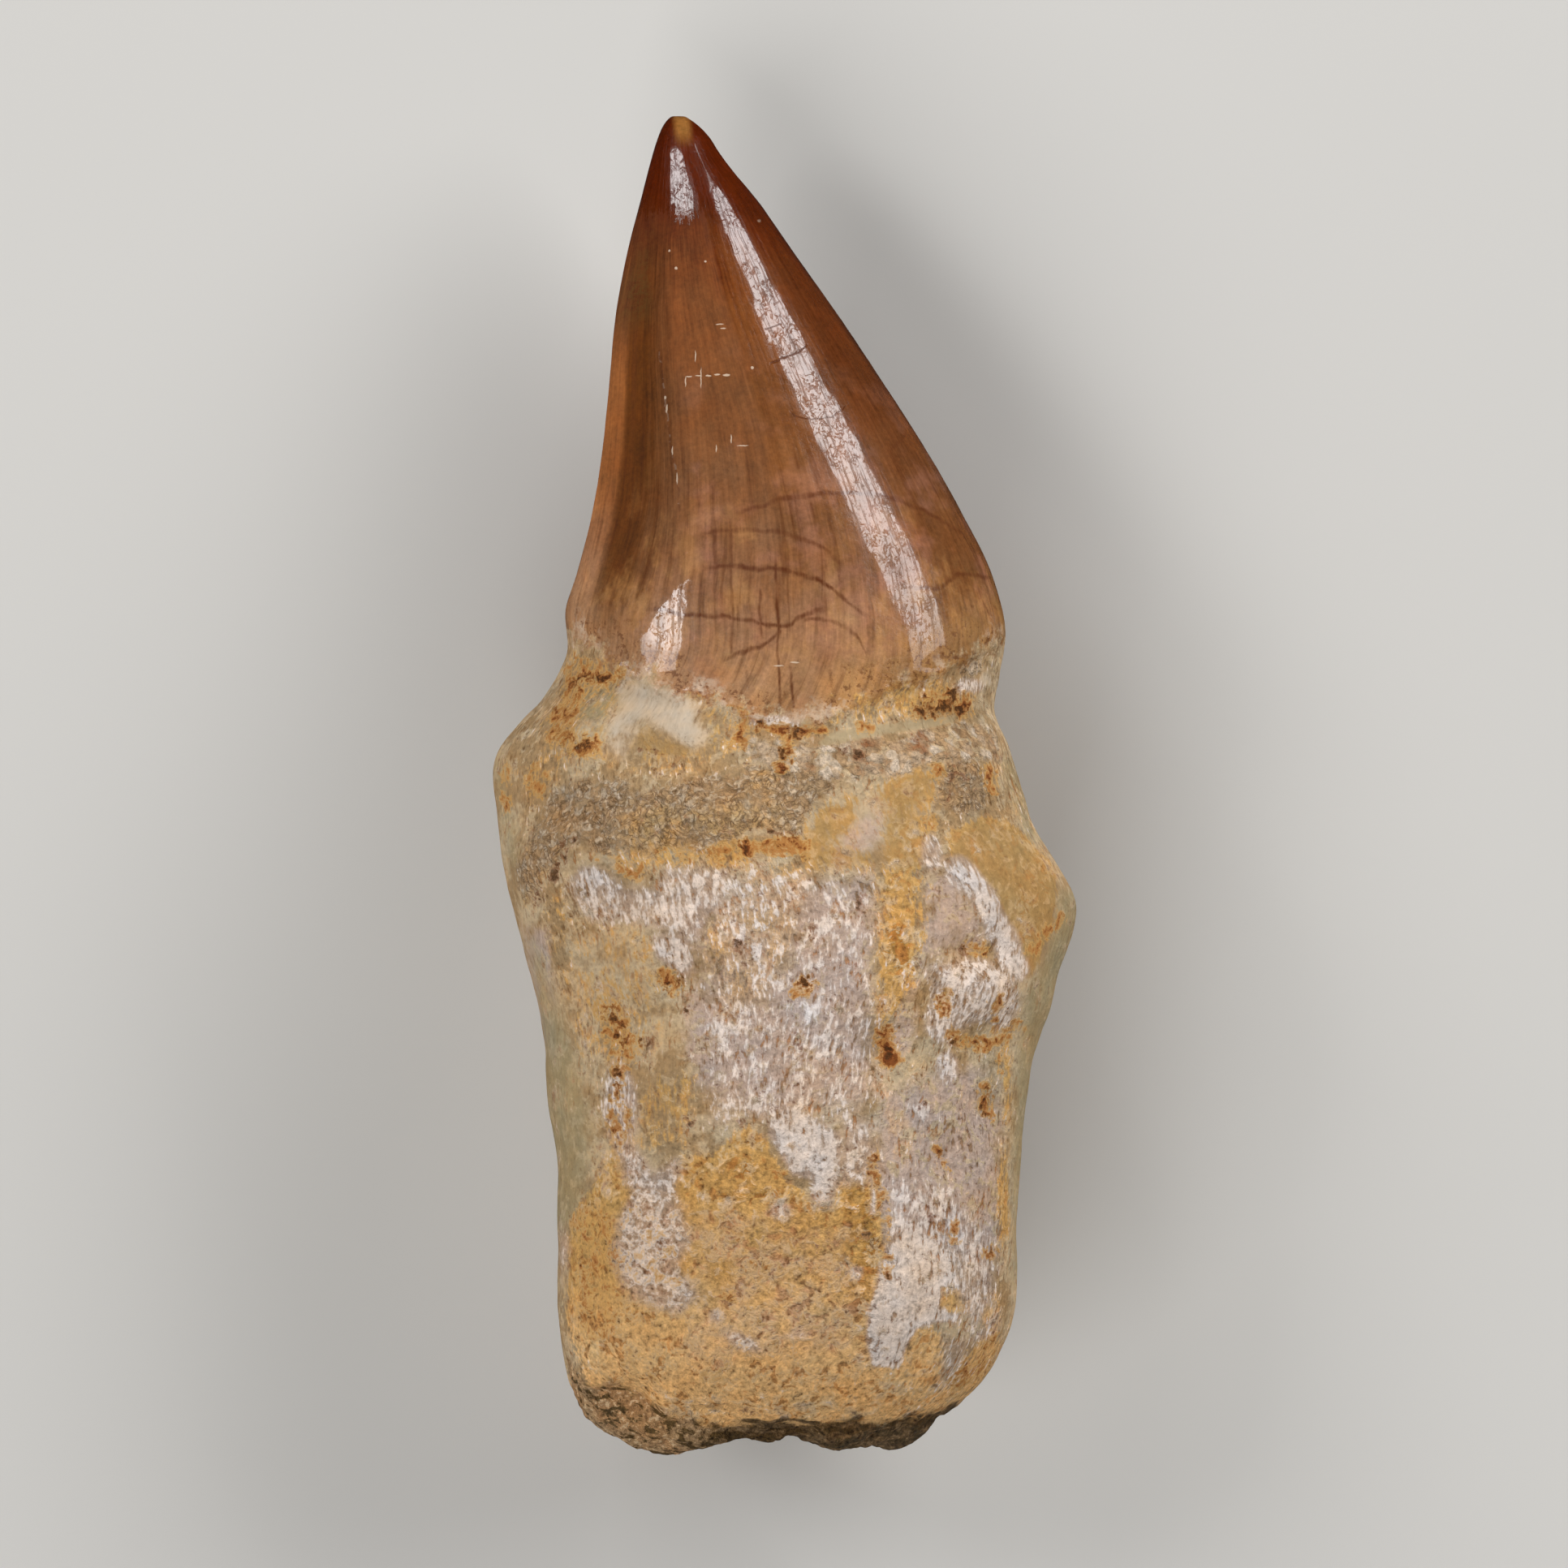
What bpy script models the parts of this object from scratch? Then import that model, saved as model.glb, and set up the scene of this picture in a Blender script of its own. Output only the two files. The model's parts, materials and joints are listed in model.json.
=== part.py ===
"""A fossil mosasaur tooth with its root, lying on the back of the root.

The tooth is one solid. Rings of points are laid along it from the tip of the crown to the broken end of the
root, each ring shaped by the tooth's width and depth there. Lumps, ledges, pits and grooves are then raised or
sunk along the surface's own normals. +Y points to the tip, +X to the right as the tooth is looked down on,
and +Z up.
"""

import bmesh
import bpy
import numpy as np

MM = 0.001

# The tooth's driving sizes, in millimetres. "Along" is the distance from the tip of the crown towards the root.
ROOT_WALL_END = 80.5  # along, where the root's wall turns in to its broken end
ENAMEL_END_AT_SIDES = 31.9  # along, where the enamel stops at the left and right edges
ENAMEL_DIP = 5.6  # how much further the enamel reaches down the middle of the front
ENAMEL_DIP_BACK = 4.0
ENAMEL_THICKNESS = 0.45  # the ledge that the enamel ends in
NECK_HALF_WIDTH = 13.4
NECK_REACH = 13.0  # how far from the enamel's edge the rings still bend to follow it
TIP = (-6.6, 0.0, 9.0)  # x, along, z
FLAT_HEIGHT = 0.12  # back points lower than this are worn down to the plane that the tooth lies on

RING_POINTS = 64
CROWN_RINGS = 20
NECK_RINGS = 12
ROOT_RINGS = 22

# Left and right edges of the tooth as it is looked down on: (along, x).
LEFT_EDGE = [
    (0.0, -6.98), (0.3, -7.33), (0.9, -7.68), (2.75, -8.28), (4.75, -8.78), (8.75, -9.78), (12.75, -10.48),
    (16.75, -10.83), (20.75, -11.23), (24.75, -11.88), (28.75, -12.93), (30.85, -13.53), (32.75, -13.38),
    (34.75, -14.03), (36.75, -15.58), (38.75, -17.28), (40.5, -17.93), (42.75, -17.73), (46.75, -17.23),
    (50.75, -16.28), (54.75, -15.23), (57.75, -14.78), (60.75, -14.63), (64.75, -14.03), (72.75, -13.98),
    (76.75, -13.58), (78.75, -13.03), (80.5, -12.1),
]
RIGHT_EDGE = [
    (0.0, -6.23), (0.3, -5.73), (0.9, -5.03), (1.8, -4.33), (2.75, -3.78), (4.75, -2.08), (8.75, 0.73),
    (12.75, 3.53), (16.75, 6.18), (20.75, 8.73), (24.75, 10.98), (28.75, 12.88), (32.0, 13.58), (34.75, 13.18),
    (36.75, 12.88), (38.75, 13.63), (42.75, 14.88), (44.75, 15.73), (46.75, 17.03), (48.75, 17.93),
    (50.75, 17.63), (52.75, 16.88), (54.75, 16.43), (56.75, 15.68), (58.75, 15.13), (62.75, 14.63),
    (66.75, 14.38), (73.0, 14.23), (74.75, 13.88), (76.75, 13.03), (78.75, 11.63), (80.5, 9.33),
]

# The line of the tooth's highest points along the front: (along, x).
CREST_X = [
    (0.0, -6.6), (2.75, -6.0), (5.25, -5.0), (8.75, -4.4), (12.75, -3.8), (16.75, -2.9), (20.75, -1.8),
    (24.75, -0.8), (28.75, 0.0), (34.0, 0.3), (50.0, 0.2), (80.5, -0.8),
]
# Height of that line, and of the lowest line along the back: (along, z).
FRONT_Z = [
    (0.0, 9.1), (0.3, 9.75), (0.9, 10.3), (2.75, 11.5), (4.75, 12.6), (8.75, 14.5), (12.75, 16.1),
    (16.75, 17.6), (20.75, 18.9), (24.75, 20.1), (28.75, 21.1), (32.0, 21.7), (36.5, 22.1), (39.0, 22.8),
    (43.0, 24.0), (48.0, 24.7), (54.0, 25.0), (61.0, 24.8), (68.0, 24.4), (73.0, 23.7), (76.75, 22.5),
    (78.75, 21.1), (80.5, 19.3),
]
BACK_Z = [
    (0.0, 8.9), (0.3, 8.3), (0.9, 7.8), (2.75, 7.1), (4.75, 6.6), (8.75, 5.9), (12.75, 5.2), (20.75, 4.1),
    (28.75, 3.2), (33.0, 3.0), (36.0, 2.9), (39.0, 1.9), (42.5, 0.5), (46.0, -0.3), (51.0, -0.6), (57.0, -0.55),
    (62.0, -0.3), (67.0, 0.3), (72.0, 1.0), (76.0, 2.1), (78.75, 3.6), (80.5, 5.4),
]
# Height of the left and right edges, where front and back meet.
LEFT_Z = [
    (0.0, 9.0), (2.75, 9.7), (8.75, 11.2), (16.75, 13.0), (24.75, 13.8), (32.0, 13.1), (41.0, 12.6),
    (80.5, 12.2),
]
RIGHT_Z = [(0.0, 9.0), (8.75, 10.5), (16.75, 11.4), (28.75, 12.3), (48.75, 13.0), (80.5, 12.2)]

# How pointed the sides of a ring are: 0.5 is an ellipse, more makes a keel, less makes a box.
LEFT_KEEL = [
    (0.0, 0.5), (6.0, 0.58), (28.0, 0.60), (34.0, 0.5), (40.5, 0.62), (47.0, 0.5), (60.0, 0.45),
    (80.5, 0.47),
]
RIGHT_KEEL = [
    (0.0, 0.5), (6.0, 0.52), (28.0, 0.52), (36.0, 0.46), (43.0, 0.5), (48.75, 0.66), (54.0, 0.48), (62.0, 0.40),
    (80.5, 0.45),
]

# The fluted left side of the crown's front, from its crest (0) to the left edge (1): (across, height).
# A fold runs down the front at about half way, with a hollow beside it and a flat rim along the cutting edge.
FLUTE = [
    (0.0, 1.0), (0.25, 0.978), (0.43, 0.915), (0.50, 0.865), (0.62, 0.60), (0.74, 0.40), (0.88, 0.235),
    (0.96, 0.125), (1.0, 0.0),
]
# How much of that flute a ring shows: none at the tip and the base of the crown.
FLUTE_SHARE = [
    (0.0, 0.0), (5.0, 0.0), (8.0, 0.75), (12.0, 1.0), (23.0, 1.0), (29.0, 0.25), (33.0, 0.0), (80.5, 0.0),
]

# The root's broken end, from its outer wall (1) to the middle (0): (share of the last ring, further along).
END_PROFILE = [(0.93, 0.75), (0.84, 1.25), (0.72, 1.55), (0.6, 1.35), (0.46, 0.6), (0.3, -0.3), (0.14, -0.7)]
END_HOLLOW = -0.1  # how much deeper the middle is than the last ring
END_NOTCH = 0.9  # how far the end's rim draws back between its two lobes

# Lumps and pits of the front and the back: (x, along, half width, half length, height). Pits have heights
# below zero.
FRONT_FORMS = [
    (-6.8, 37.6, 2.9, 2.2, 0.55),  # pale smooth swelling under the enamel
    (-11.6, 38.6, 2.4, 2.6, 0.35),
    (11.2, 41.5, 2.2, 2.2, 0.35),
    (14.4, 47.6, 3.2, 4.6, 0.4),  # smooth shoulder of the right bulge
    (11.6, 54.0, 2.4, 2.2, 0.55),  # boss between two rusty hollows
    (11.4, 51.6, 1.8, 1.1, -0.65),
    (12.2, 56.8, 2.2, 1.1, -0.7),
    (9.5, 54.6, 1.1, 1.2, -0.5),
    (12.4, 61.0, 1.1, 1.8, -0.45),
    (6.1, 57.9, 1.25, 1.7, -0.8),  # rusty pit at the foot of the ochre groove
    (-10.0, 56.2, 1.7, 2.4, -0.6),
    (-10.4, 62.5, 1.1, 4.0, -0.35),
    (-6.6, 53.6, 1.1, 1.8, -0.4),
    (9.6, 64.2, 1.1, 1.2, -0.4),
    (2.6, 52.0, 3.2, 5.0, 0.25),
    (-2.5, 60.0, 4.0, 6.0, 0.2),
    (8.6, 70.5, 3.4, 6.0, 0.25),
    (-9.9, 78.8, 1.7, 1.2, -0.8),
    (-4.5, 80.0, 2.0, 0.8, -0.4),
]
BACK_FORMS = [
    (-8.5, 39.5, 3.0, 2.4, 0.5),
    (4.5, 39.0, 4.2, 1.8, 0.45),
    (10.5, 44.0, 2.6, 3.4, 0.4),
    (-12.0, 49.0, 2.0, 4.5, 0.35),
    (-11.5, 60.0, 1.5, 4.5, -0.5),
    (10.8, 57.0, 1.4, 2.4, -0.6),
    (11.6, 68.0, 1.6, 4.2, -0.45),
    (-4.0, 43.0, 1.2, 1.6, -0.5),
    (1.5, 45.5, 0.9, 1.2, -0.4),
    (-8.0, 72.0, 2.4, 2.6, 0.3),
    (6.0, 77.5, 1.4, 1.2, -0.6),
]
# Ridges and grooves, each along a line: (line of (x, along) points, half width, height). The first is the
# coarse band at the neck, and the second the mended break beside the enamel.
FRONT_LINES = [
    ([(-15.0, 46.0), (-9.0, 43.6), (-2.0, 41.6), (4.0, 39.6), (10.5, 38.4)], 1.9, 0.45),
    ([(1.6, 38.4), (6.5, 38.0), (11.4, 37.7)], 0.9, -0.4),
    ([(9.0, 45.4), (11.8, 47.9), (13.9, 52.4)], 1.0, 0.3),
    ([(6.2, 48.5), (6.2, 56.5)], 1.0, -0.35),
    ([(-12.6, 50.0), (-12.0, 60.0), (-12.2, 72.0)], 1.3, -0.25),
]
BACK_LINES = [
    ([(-14.0, 42.0), (-4.0, 40.6), (6.0, 41.6), (14.0, 45.0)], 1.8, 0.4),
    ([(-1.5, 70.0), (-2.0, 80.0)], 1.6, -0.6),
]

# Lumps and hollows of the root's broken end: (x, z, size, height).
END_FORMS = [
    (-6.5, 14.5, 2.2, 0.7), (-3.0, 9.5, 1.8, -0.9), (2.0, 14.0, 2.4, 0.6), (5.2, 10.0, 2.0, -0.8),
    (-0.5, 12.0, 1.6, -0.5), (6.4, 13.6, 1.8, 0.25), (-8.0, 10.0, 1.5, -0.5),
]

# Colours, roughness and metallic value of the two surfaces.
ENAMEL = ("amber brown enamel", (0.20, 0.075, 0.022, 1.0), 0.22, 0.0)
BONE = ("chalky ochre root", (0.46, 0.33, 0.20, 1.0), 0.75, 0.0)


def smooth_through(points, at):
    """Reads a smooth curve through (position, value) points, without overshoot between them."""
    places, values = np.array(points, float).T
    at = np.clip(at, places[0], places[-1])
    gaps = np.diff(places)
    rises = np.diff(values) / gaps
    slopes = np.zeros_like(values)
    slopes[0], slopes[-1] = rises[0], rises[-1]
    turning = rises[:-1] * rises[1:] <= 0.0
    mean_rise = 2.0 * rises[:-1] * rises[1:] / np.where(turning, 1.0, rises[:-1] + rises[1:])
    slopes[1:-1] = np.where(turning, 0.0, mean_rise)
    left = np.clip(np.searchsorted(places, at) - 1, 0, len(gaps) - 1)
    gap = gaps[left]
    t = (at - places[left]) / gap
    start = values[left] * (1 + 2 * t) * (1 - t) ** 2 + slopes[left] * gap * t * (1 - t) ** 2
    end = values[left + 1] * t * t * (3 - 2 * t) + slopes[left + 1] * gap * t * t * (t - 1)
    return start + end


def fade(value, start, end):
    """Goes smoothly from 0 at start to 1 at end."""
    t = np.clip((value - start) / (end - start), 0.0, 1.0)
    return t * t * (3.0 - 2.0 * t)


def enamel_end(across, front):
    """How far along the enamel reaches, at a place across the tooth from -1 at the left to 1 at the right."""
    rounded = np.sqrt(across * across + 0.012) - 0.1
    dip = 1.0 - np.clip(rounded, 0.0, 1.0) ** 1.25
    uneven = dip * (0.3 * np.sin(9.0 * across + 0.8) + 0.16 * np.sin(21.0 * across))
    return ENAMEL_END_AT_SIDES + uneven + dip * np.where(front, ENAMEL_DIP, ENAMEL_DIP_BACK)


def ring_stations():
    """Places along the tooth for the rings, close together at the tip, the neck and the end of the root."""
    tip = np.array([0.04, 0.2, 0.5, 0.95, 1.55])
    crown = np.linspace(2.3, ENAMEL_END_AT_SIDES - 2.2, CROWN_RINGS)
    ledge = ENAMEL_END_AT_SIDES + np.array([-1.2, -0.45, -0.05, 0.2, 0.6, 1.2])
    neck = np.linspace(ENAMEL_END_AT_SIDES + 2.2, ENAMEL_END_AT_SIDES + NECK_REACH + 1.0, NECK_RINGS)
    root = np.linspace(neck[-1] + 1.45, ROOT_WALL_END - 2.7, ROOT_RINGS)
    end = ROOT_WALL_END - np.array([1.8, 0.9, 0.2])
    return np.concatenate([tip, crown, ledge, neck, root, end])


def ring(station):
    """One ring of points around the tooth, as x, along and z, all in millimetres."""
    angle = np.arange(RING_POINTS) * 2.0 * np.pi / RING_POINTS
    across = np.cos(angle)
    front = np.sin(angle) >= 0.0
    # The rings near the neck bend to follow the enamel's edge, so that its ledge is a clean line.
    from_edge = (station - ENAMEL_END_AT_SIDES) / NECK_REACH
    above = from_edge if from_edge > 0.0 else from_edge * 0.55
    follow = np.clip(1.0 - above * above, 0.0, 1.0) ** 2
    along = station + follow * (enamel_end(across, front) - ENAMEL_END_AT_SIDES)

    keel = np.where(across < 0.0, smooth_through(LEFT_KEEL, along), smooth_through(RIGHT_KEEL, along))
    rise = np.abs(np.sin(angle)) ** (2.0 * keel)
    flute = smooth_through(FLUTE, np.abs(across))
    flute_share = np.where(front & (across < 0.0), smooth_through(FLUTE_SHARE, along), 0.0)
    rise = rise + flute_share * (flute - rise)

    crest = smooth_through(CREST_X, along)
    left = smooth_through(LEFT_EDGE, along)
    right = smooth_through(RIGHT_EDGE, along)
    x = crest + np.where(across < 0.0, across * (crest - left), across * (right - crest))
    edge_z = np.where(across < 0.0, smooth_through(LEFT_Z, along), smooth_through(RIGHT_Z, along))
    # Both halves of the ring share one height at the crest, so the edge's height fades out towards it.
    target_z = np.where(front, smooth_through(FRONT_Z, along), smooth_through(BACK_Z, along))
    z = edge_z + (target_z - edge_z) * rise
    return np.stack([x, along, z], axis=1)


def end_rings(last):
    """Rings that close the root's broken end: a rim with two lobes around a rough hollow."""
    middle = last.mean(axis=0)
    across = np.cos(np.arange(RING_POINTS) * 2.0 * np.pi / RING_POINTS)
    notch = END_NOTCH * np.exp(-((across - 0.05) / 0.3) ** 2)
    rings = []
    for share, further in END_PROFILE:
        points = middle + (last - middle) * share
        points[:, 1] = last[:, 1] + further - notch * fade(share, 0.35, 0.85)
        rings.append(points)
    return rings


def line_distance(x, along, line):
    """Distance from each point to a bent line, all seen from the front."""
    nearest = np.full(x.shape, 1e9)
    for (x1, y1), (x2, y2) in zip(line[:-1], line[1:]):
        dx, dy = x2 - x1, y2 - y1
        t = np.clip(((x - x1) * dx + (along - y1) * dy) / (dx * dx + dy * dy), 0.0, 1.0)
        nearest = np.minimum(nearest, np.hypot(x - x1 - t * dx, along - y1 - t * dy))
    return nearest


def ripple(x, along, z):
    """Low uneven swells of weathered bone, from sums of waves in different directions."""
    swell = np.sin(0.42 * x + 0.9 * np.sin(0.13 * along)) * np.sin(0.21 * along + 0.3 * z)
    fine = np.sin(1.25 * x + 0.4 * along + 0.8 * z) * np.sin(0.55 * along - 0.9 * x + 1.7)
    grain = np.sin(2.4 * x - 1.1 * along + 1.9 * z) * np.sin(1.6 * along + 2.1 * x - 0.7 * z)
    return 0.16 * swell + 0.07 * fine + 0.04 * grain


def relief(points, across, front, on_end):
    """Height of the surface above its plain form, in millimetres."""
    x, along, z = points[..., 0], points[..., 1], points[..., 2]
    height = np.zeros(x.shape)
    for forms, lines, side in ((FRONT_FORMS, FRONT_LINES, front), (BACK_FORMS, BACK_LINES, ~front)):
        for form_x, form_along, half_width, half_length, rise in forms:
            distance = ((x - form_x) / half_width) ** 2 + ((along - form_along) / half_length) ** 2
            height += np.where(side, rise * np.exp(-distance), 0.0)
        for line, half_width, rise in lines:
            distance = line_distance(x, along, line) / half_width
            height += np.where(side, rise * np.exp(-distance * distance), 0.0)
    past_enamel = along - enamel_end(across, front)
    height += ripple(x, along, z) * fade(past_enamel, 0.5, 4.0)
    # The ledge is worn unevenly, and it is lost where the pale swelling reaches up to the enamel.
    worn = ENAMEL_THICKNESS * (0.68 + 0.32 * np.sin(0.7 * x + 0.35 * z + 1.0))
    height -= worn * fade(past_enamel, -0.1, 0.5) * (1.0 - fade(past_enamel, 2.0, 7.0))
    return np.where(on_end, end_relief(x, z), height)


def end_relief(x, z):
    """Lumps of matrix and hollows of the broken pulp cavity, over the end of the root."""
    height = 0.25 * np.sin(0.9 * x + 0.5 * z + 0.4) * np.sin(0.8 * z - 0.5 * x)
    for form_x, form_z, size, rise in END_FORMS:
        height += rise * np.exp(-((x - form_x) ** 2 + (z - form_z) ** 2) / (size * size))
    return height


def surface_normals(points):
    """Outward normals of a grid of rings, from the directions along and around it."""
    down = np.gradient(points, axis=0)
    around = np.roll(points, -1, axis=1) - np.roll(points, 1, axis=1)
    normals = np.cross(down, around)
    length = np.linalg.norm(normals, axis=2, keepdims=True)
    return normals / np.maximum(length, 1e-9)


def tooth_points():
    """The grid of ring points, from the tip to the root's end, and the two closing points, in millimetres."""
    body = [ring(station) for station in ring_stations()]
    body_count = len(body)
    end = end_rings(body[-1])
    points = np.array(body + end)
    angle = np.arange(RING_POINTS) * 2.0 * np.pi / RING_POINTS
    front = np.broadcast_to(np.sin(angle) >= 0.0, points.shape[:2])
    on_end = np.broadcast_to((np.arange(len(points)) >= body_count + 1)[:, None], points.shape[:2])
    height = relief(points, np.cos(angle), front, on_end)
    height *= fade(points[..., 1], 3.0, 8.0)
    # Relief fades out at the sides, where front and back meet, and on the flat that the tooth lies on.
    height *= np.where(on_end, 1.0, fade(np.abs(np.sin(angle)), 0.0, 0.45)[None, :])
    height *= np.where(~front & ~on_end, fade(points[..., 2], 0.3, 1.6), 1.0)
    points += surface_normals(points) * height[..., None]
    points[..., 2] = np.where(points[..., 2] < FLAT_HEIGHT, 0.0, points[..., 2])
    hollow = points[-1].mean(axis=0) + np.array([0.0, END_HOLLOW, 0.0])
    return points, np.array(TIP), hollow


def to_scene(points):
    """Turns x, along and z into the scene's frame, in millimetres, with +Y towards the tip."""
    turned = np.array(points, float)
    turned[..., 1] = -turned[..., 1]
    return turned


def build_tooth():
    """Makes the tooth's mesh, centred over the origin and resting on z = 0."""
    points, tip, hollow = tooth_points()
    grid = to_scene(points)
    tip, hollow = to_scene(tip), to_scene(hollow)
    everything = np.concatenate([grid.reshape(-1, 3), [tip, hollow]])
    low, high = everything.min(axis=0), everything.max(axis=0)
    centre = np.array([(low[0] + high[0]) / 2.0, (low[1] + high[1]) / 2.0, 0.0])

    shape = bmesh.new()
    rings = [[shape.verts.new((point - centre) * MM) for point in row] for row in grid]
    tip_point = shape.verts.new((tip - centre) * MM)
    hollow_point = shape.verts.new((hollow - centre) * MM)
    for upper, lower in zip(rings[:-1], rings[1:]):
        for i in range(RING_POINTS):
            following = (i + 1) % RING_POINTS
            shape.faces.new((upper[i], lower[i], lower[following], upper[following]))
    for i in range(RING_POINTS):
        following = (i + 1) % RING_POINTS
        shape.faces.new((tip_point, rings[0][i], rings[0][following]))
        shape.faces.new((hollow_point, rings[-1][following], rings[-1][i]))
    bmesh.ops.recalc_face_normals(shape, faces=shape.faces)
    bmesh.ops.triangulate(shape, faces=shape.faces, quad_method="SHORT_EDGE")
    paint_enamel(shape, centre)
    mesh = bpy.data.meshes.new("tooth")
    shape.to_mesh(mesh)
    shape.free()
    return mesh


def paint_enamel(shape, centre):
    """Gives the faces above the enamel's edge the second material."""
    for face in shape.faces:
        middle = face.calc_center_median() / MM
        across = np.clip((middle.x + centre[0]) / NECK_HALF_WIDTH, -1.0, 1.0)
        along = -(middle.y + centre[1])
        face.material_index = 1 if along < enamel_end(across, face.normal.z > 0.0) else 0


def finish(name, colour, roughness, metallic):
    """A Principled material of one colour."""
    material = bpy.data.materials.new(name)
    material.use_nodes = True
    shader = material.node_tree.nodes["Principled BSDF"]
    shader.inputs["Base Color"].default_value = colour
    shader.inputs["Roughness"].default_value = roughness
    shader.inputs["Metallic"].default_value = metallic
    material.diffuse_color = colour
    return material


def clear_scene():
    for old in list(bpy.data.objects):
        bpy.data.objects.remove(old, do_unlink=True)


def main():
    clear_scene()
    tooth = bpy.data.objects.new("tooth", build_tooth())
    bpy.context.scene.collection.objects.link(tooth)
    tooth.data.materials.append(finish(*BONE))
    tooth.data.materials.append(finish(*ENAMEL))
    tooth.data.shade_smooth()
    tooth.data.set_sharp_from_angle(angle=0.7)


main()
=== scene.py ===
"""Dresses the fossil mosasaur tooth: its fine surface, the finish of its enamel and bone, and the studio.

A place on the tooth is given in millimetres as x, to the right of the middle as the tooth is looked down on,
and along, the distance from the tip of the crown towards the root.
"""

import json
import math

import bmesh
import bpy
import numpy as np
from bpy.props import FloatProperty, FloatVectorProperty, IntProperty, PointerProperty
from bpy.types import Operator, Panel, PropertyGroup
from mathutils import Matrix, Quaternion, Vector, noise

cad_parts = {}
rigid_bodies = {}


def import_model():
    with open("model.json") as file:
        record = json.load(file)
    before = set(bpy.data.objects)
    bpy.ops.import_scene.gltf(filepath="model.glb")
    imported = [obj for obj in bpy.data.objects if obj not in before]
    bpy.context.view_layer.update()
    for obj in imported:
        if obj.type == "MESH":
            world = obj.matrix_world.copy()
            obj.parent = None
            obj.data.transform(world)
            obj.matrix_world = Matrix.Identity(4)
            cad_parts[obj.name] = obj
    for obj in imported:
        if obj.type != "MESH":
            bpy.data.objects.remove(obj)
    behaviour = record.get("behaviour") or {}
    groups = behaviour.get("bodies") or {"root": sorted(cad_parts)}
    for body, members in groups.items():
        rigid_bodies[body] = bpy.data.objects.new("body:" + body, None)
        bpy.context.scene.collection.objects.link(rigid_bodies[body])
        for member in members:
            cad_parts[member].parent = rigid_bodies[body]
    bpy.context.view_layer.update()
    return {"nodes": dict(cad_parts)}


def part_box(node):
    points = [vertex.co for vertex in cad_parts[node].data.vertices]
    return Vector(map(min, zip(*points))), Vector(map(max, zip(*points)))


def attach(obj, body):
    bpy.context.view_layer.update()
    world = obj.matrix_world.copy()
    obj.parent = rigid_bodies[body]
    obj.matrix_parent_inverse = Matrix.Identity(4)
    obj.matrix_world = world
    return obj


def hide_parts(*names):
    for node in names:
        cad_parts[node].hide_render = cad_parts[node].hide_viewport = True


for leftover in list(bpy.data.objects):
    bpy.data.objects.remove(leftover)
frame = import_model()

bl_info = {
    "name": "Fossil Tooth Finish",
    "version": (1, 0, 0),
    "blender": (4, 5, 0),
    "location": "3D View > Sidebar > Fossil Tooth",
    "description": "Builds the fine surface and the finish of a rooted fossil tooth, and a studio around it",
    "category": "Object",
}

MM = 0.001
NODE = "tooth"
PIECE = "rooted_tooth"
LOW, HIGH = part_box(NODE)
LENGTH = (HIGH.y - LOW.y) / MM

# The enamel's lower edge, as the solid has it.
ENAMEL_END_AT_SIDES = 31.9
ENAMEL_DIP_FRONT = 5.6
ENAMEL_DIP_BACK = 4.0
NECK_MIDDLE = 0.3
NECK_HALF_WIDTH = 13.5
SIDE_HEIGHT = 12.6  # where the front and the back meet
ROOT_WALL_END = 80.6
END_HOLLOW = 4.0  # how far the broken end may lie in from there
END_HOLLOW_X = -1.8
END_HOLLOW_Z = 9.0
TYPICAL_RADIUS = 12.0
COLOURED_LENGTH = 37.0  # how far from the tip the enamel's colours reach
PICTURE_MIDDLE = Vector((-0.00006, -0.0001, SIDE_HEIGHT * MM))
# The enamel's polish is a coat on a base that hardly shines.
POLISH = {"Coat Roughness": 0.05, "Coat IOR": 1.67, "Specular IOR Level": 0.12}


class Spot:
    """An oval mark at a place. A positive lean, in degrees, takes its far end to the right."""

    softness = 0.3

    def __init__(self, x, along, half_width, half_length, lean=0.0, strength=1.0, depth=0.0):
        self.x = x
        self.along = along
        self.half_width = half_width
        self.half_length = half_length
        self.lean = math.radians(lean)
        self.strength = strength
        self.depth = depth

    def inside(self, x, along):
        """How far inside its outline each point lies, in millimetres."""
        right = x - self.x
        down = along - self.along
        across = right * math.cos(self.lean) - down * math.sin(self.lean)
        length = down * math.cos(self.lean) + right * math.sin(self.lean)
        reach = np.hypot(across / self.half_width, length / self.half_length)
        return (1.0 - reach) * min(self.half_width, self.half_length)


class Area:
    """A mark inside an outline of (x, along) points, with an edge of the given softness in millimetres."""

    depth = 0.0

    def __init__(self, strength, softness, *outline):
        self.strength = strength
        self.softness = softness
        self.outline = outline

    def inside(self, x, along):
        away = distance_to_path(x, along, self.outline + self.outline[:1])
        crossings = np.zeros(x.shape, dtype=bool)
        for (ax, ay), (bx, by) in zip(self.outline, self.outline[1:] + self.outline[:1]):
            spans = (ay > along) != (by > along)
            left = x < ax + (along - ay) * (bx - ax) / (by - ay if by != ay else 1e-9)
            crossings ^= spans & left
        return np.where(crossings, away, -away)


class Band:
    """A bent stripe through (x, along) points."""

    def __init__(self, strength, half_width, *path, softness=0.3, depth=0.0):
        self.strength = strength
        self.half_width = half_width
        self.path = path
        self.softness = softness
        self.depth = depth

    def inside(self, x, along):
        return self.half_width - distance_to_path(x, along, self.path)


def distance_to_path(x, along, path):
    nearest = np.full(x.shape, 1e9)
    for (ax, ay), (bx, by) in zip(path[:-1], path[1:]):
        run_x, run_along = bx - ax, by - ay
        share = ((x - ax) * run_x + (along - ay) * run_along) / max(run_x**2 + run_along**2, 1e-9)
        share = np.clip(share, 0.0, 1.0)
        nearest = np.minimum(nearest, np.hypot(x - ax - share * run_x, along - ay - share * run_along))
    return nearest


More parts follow.
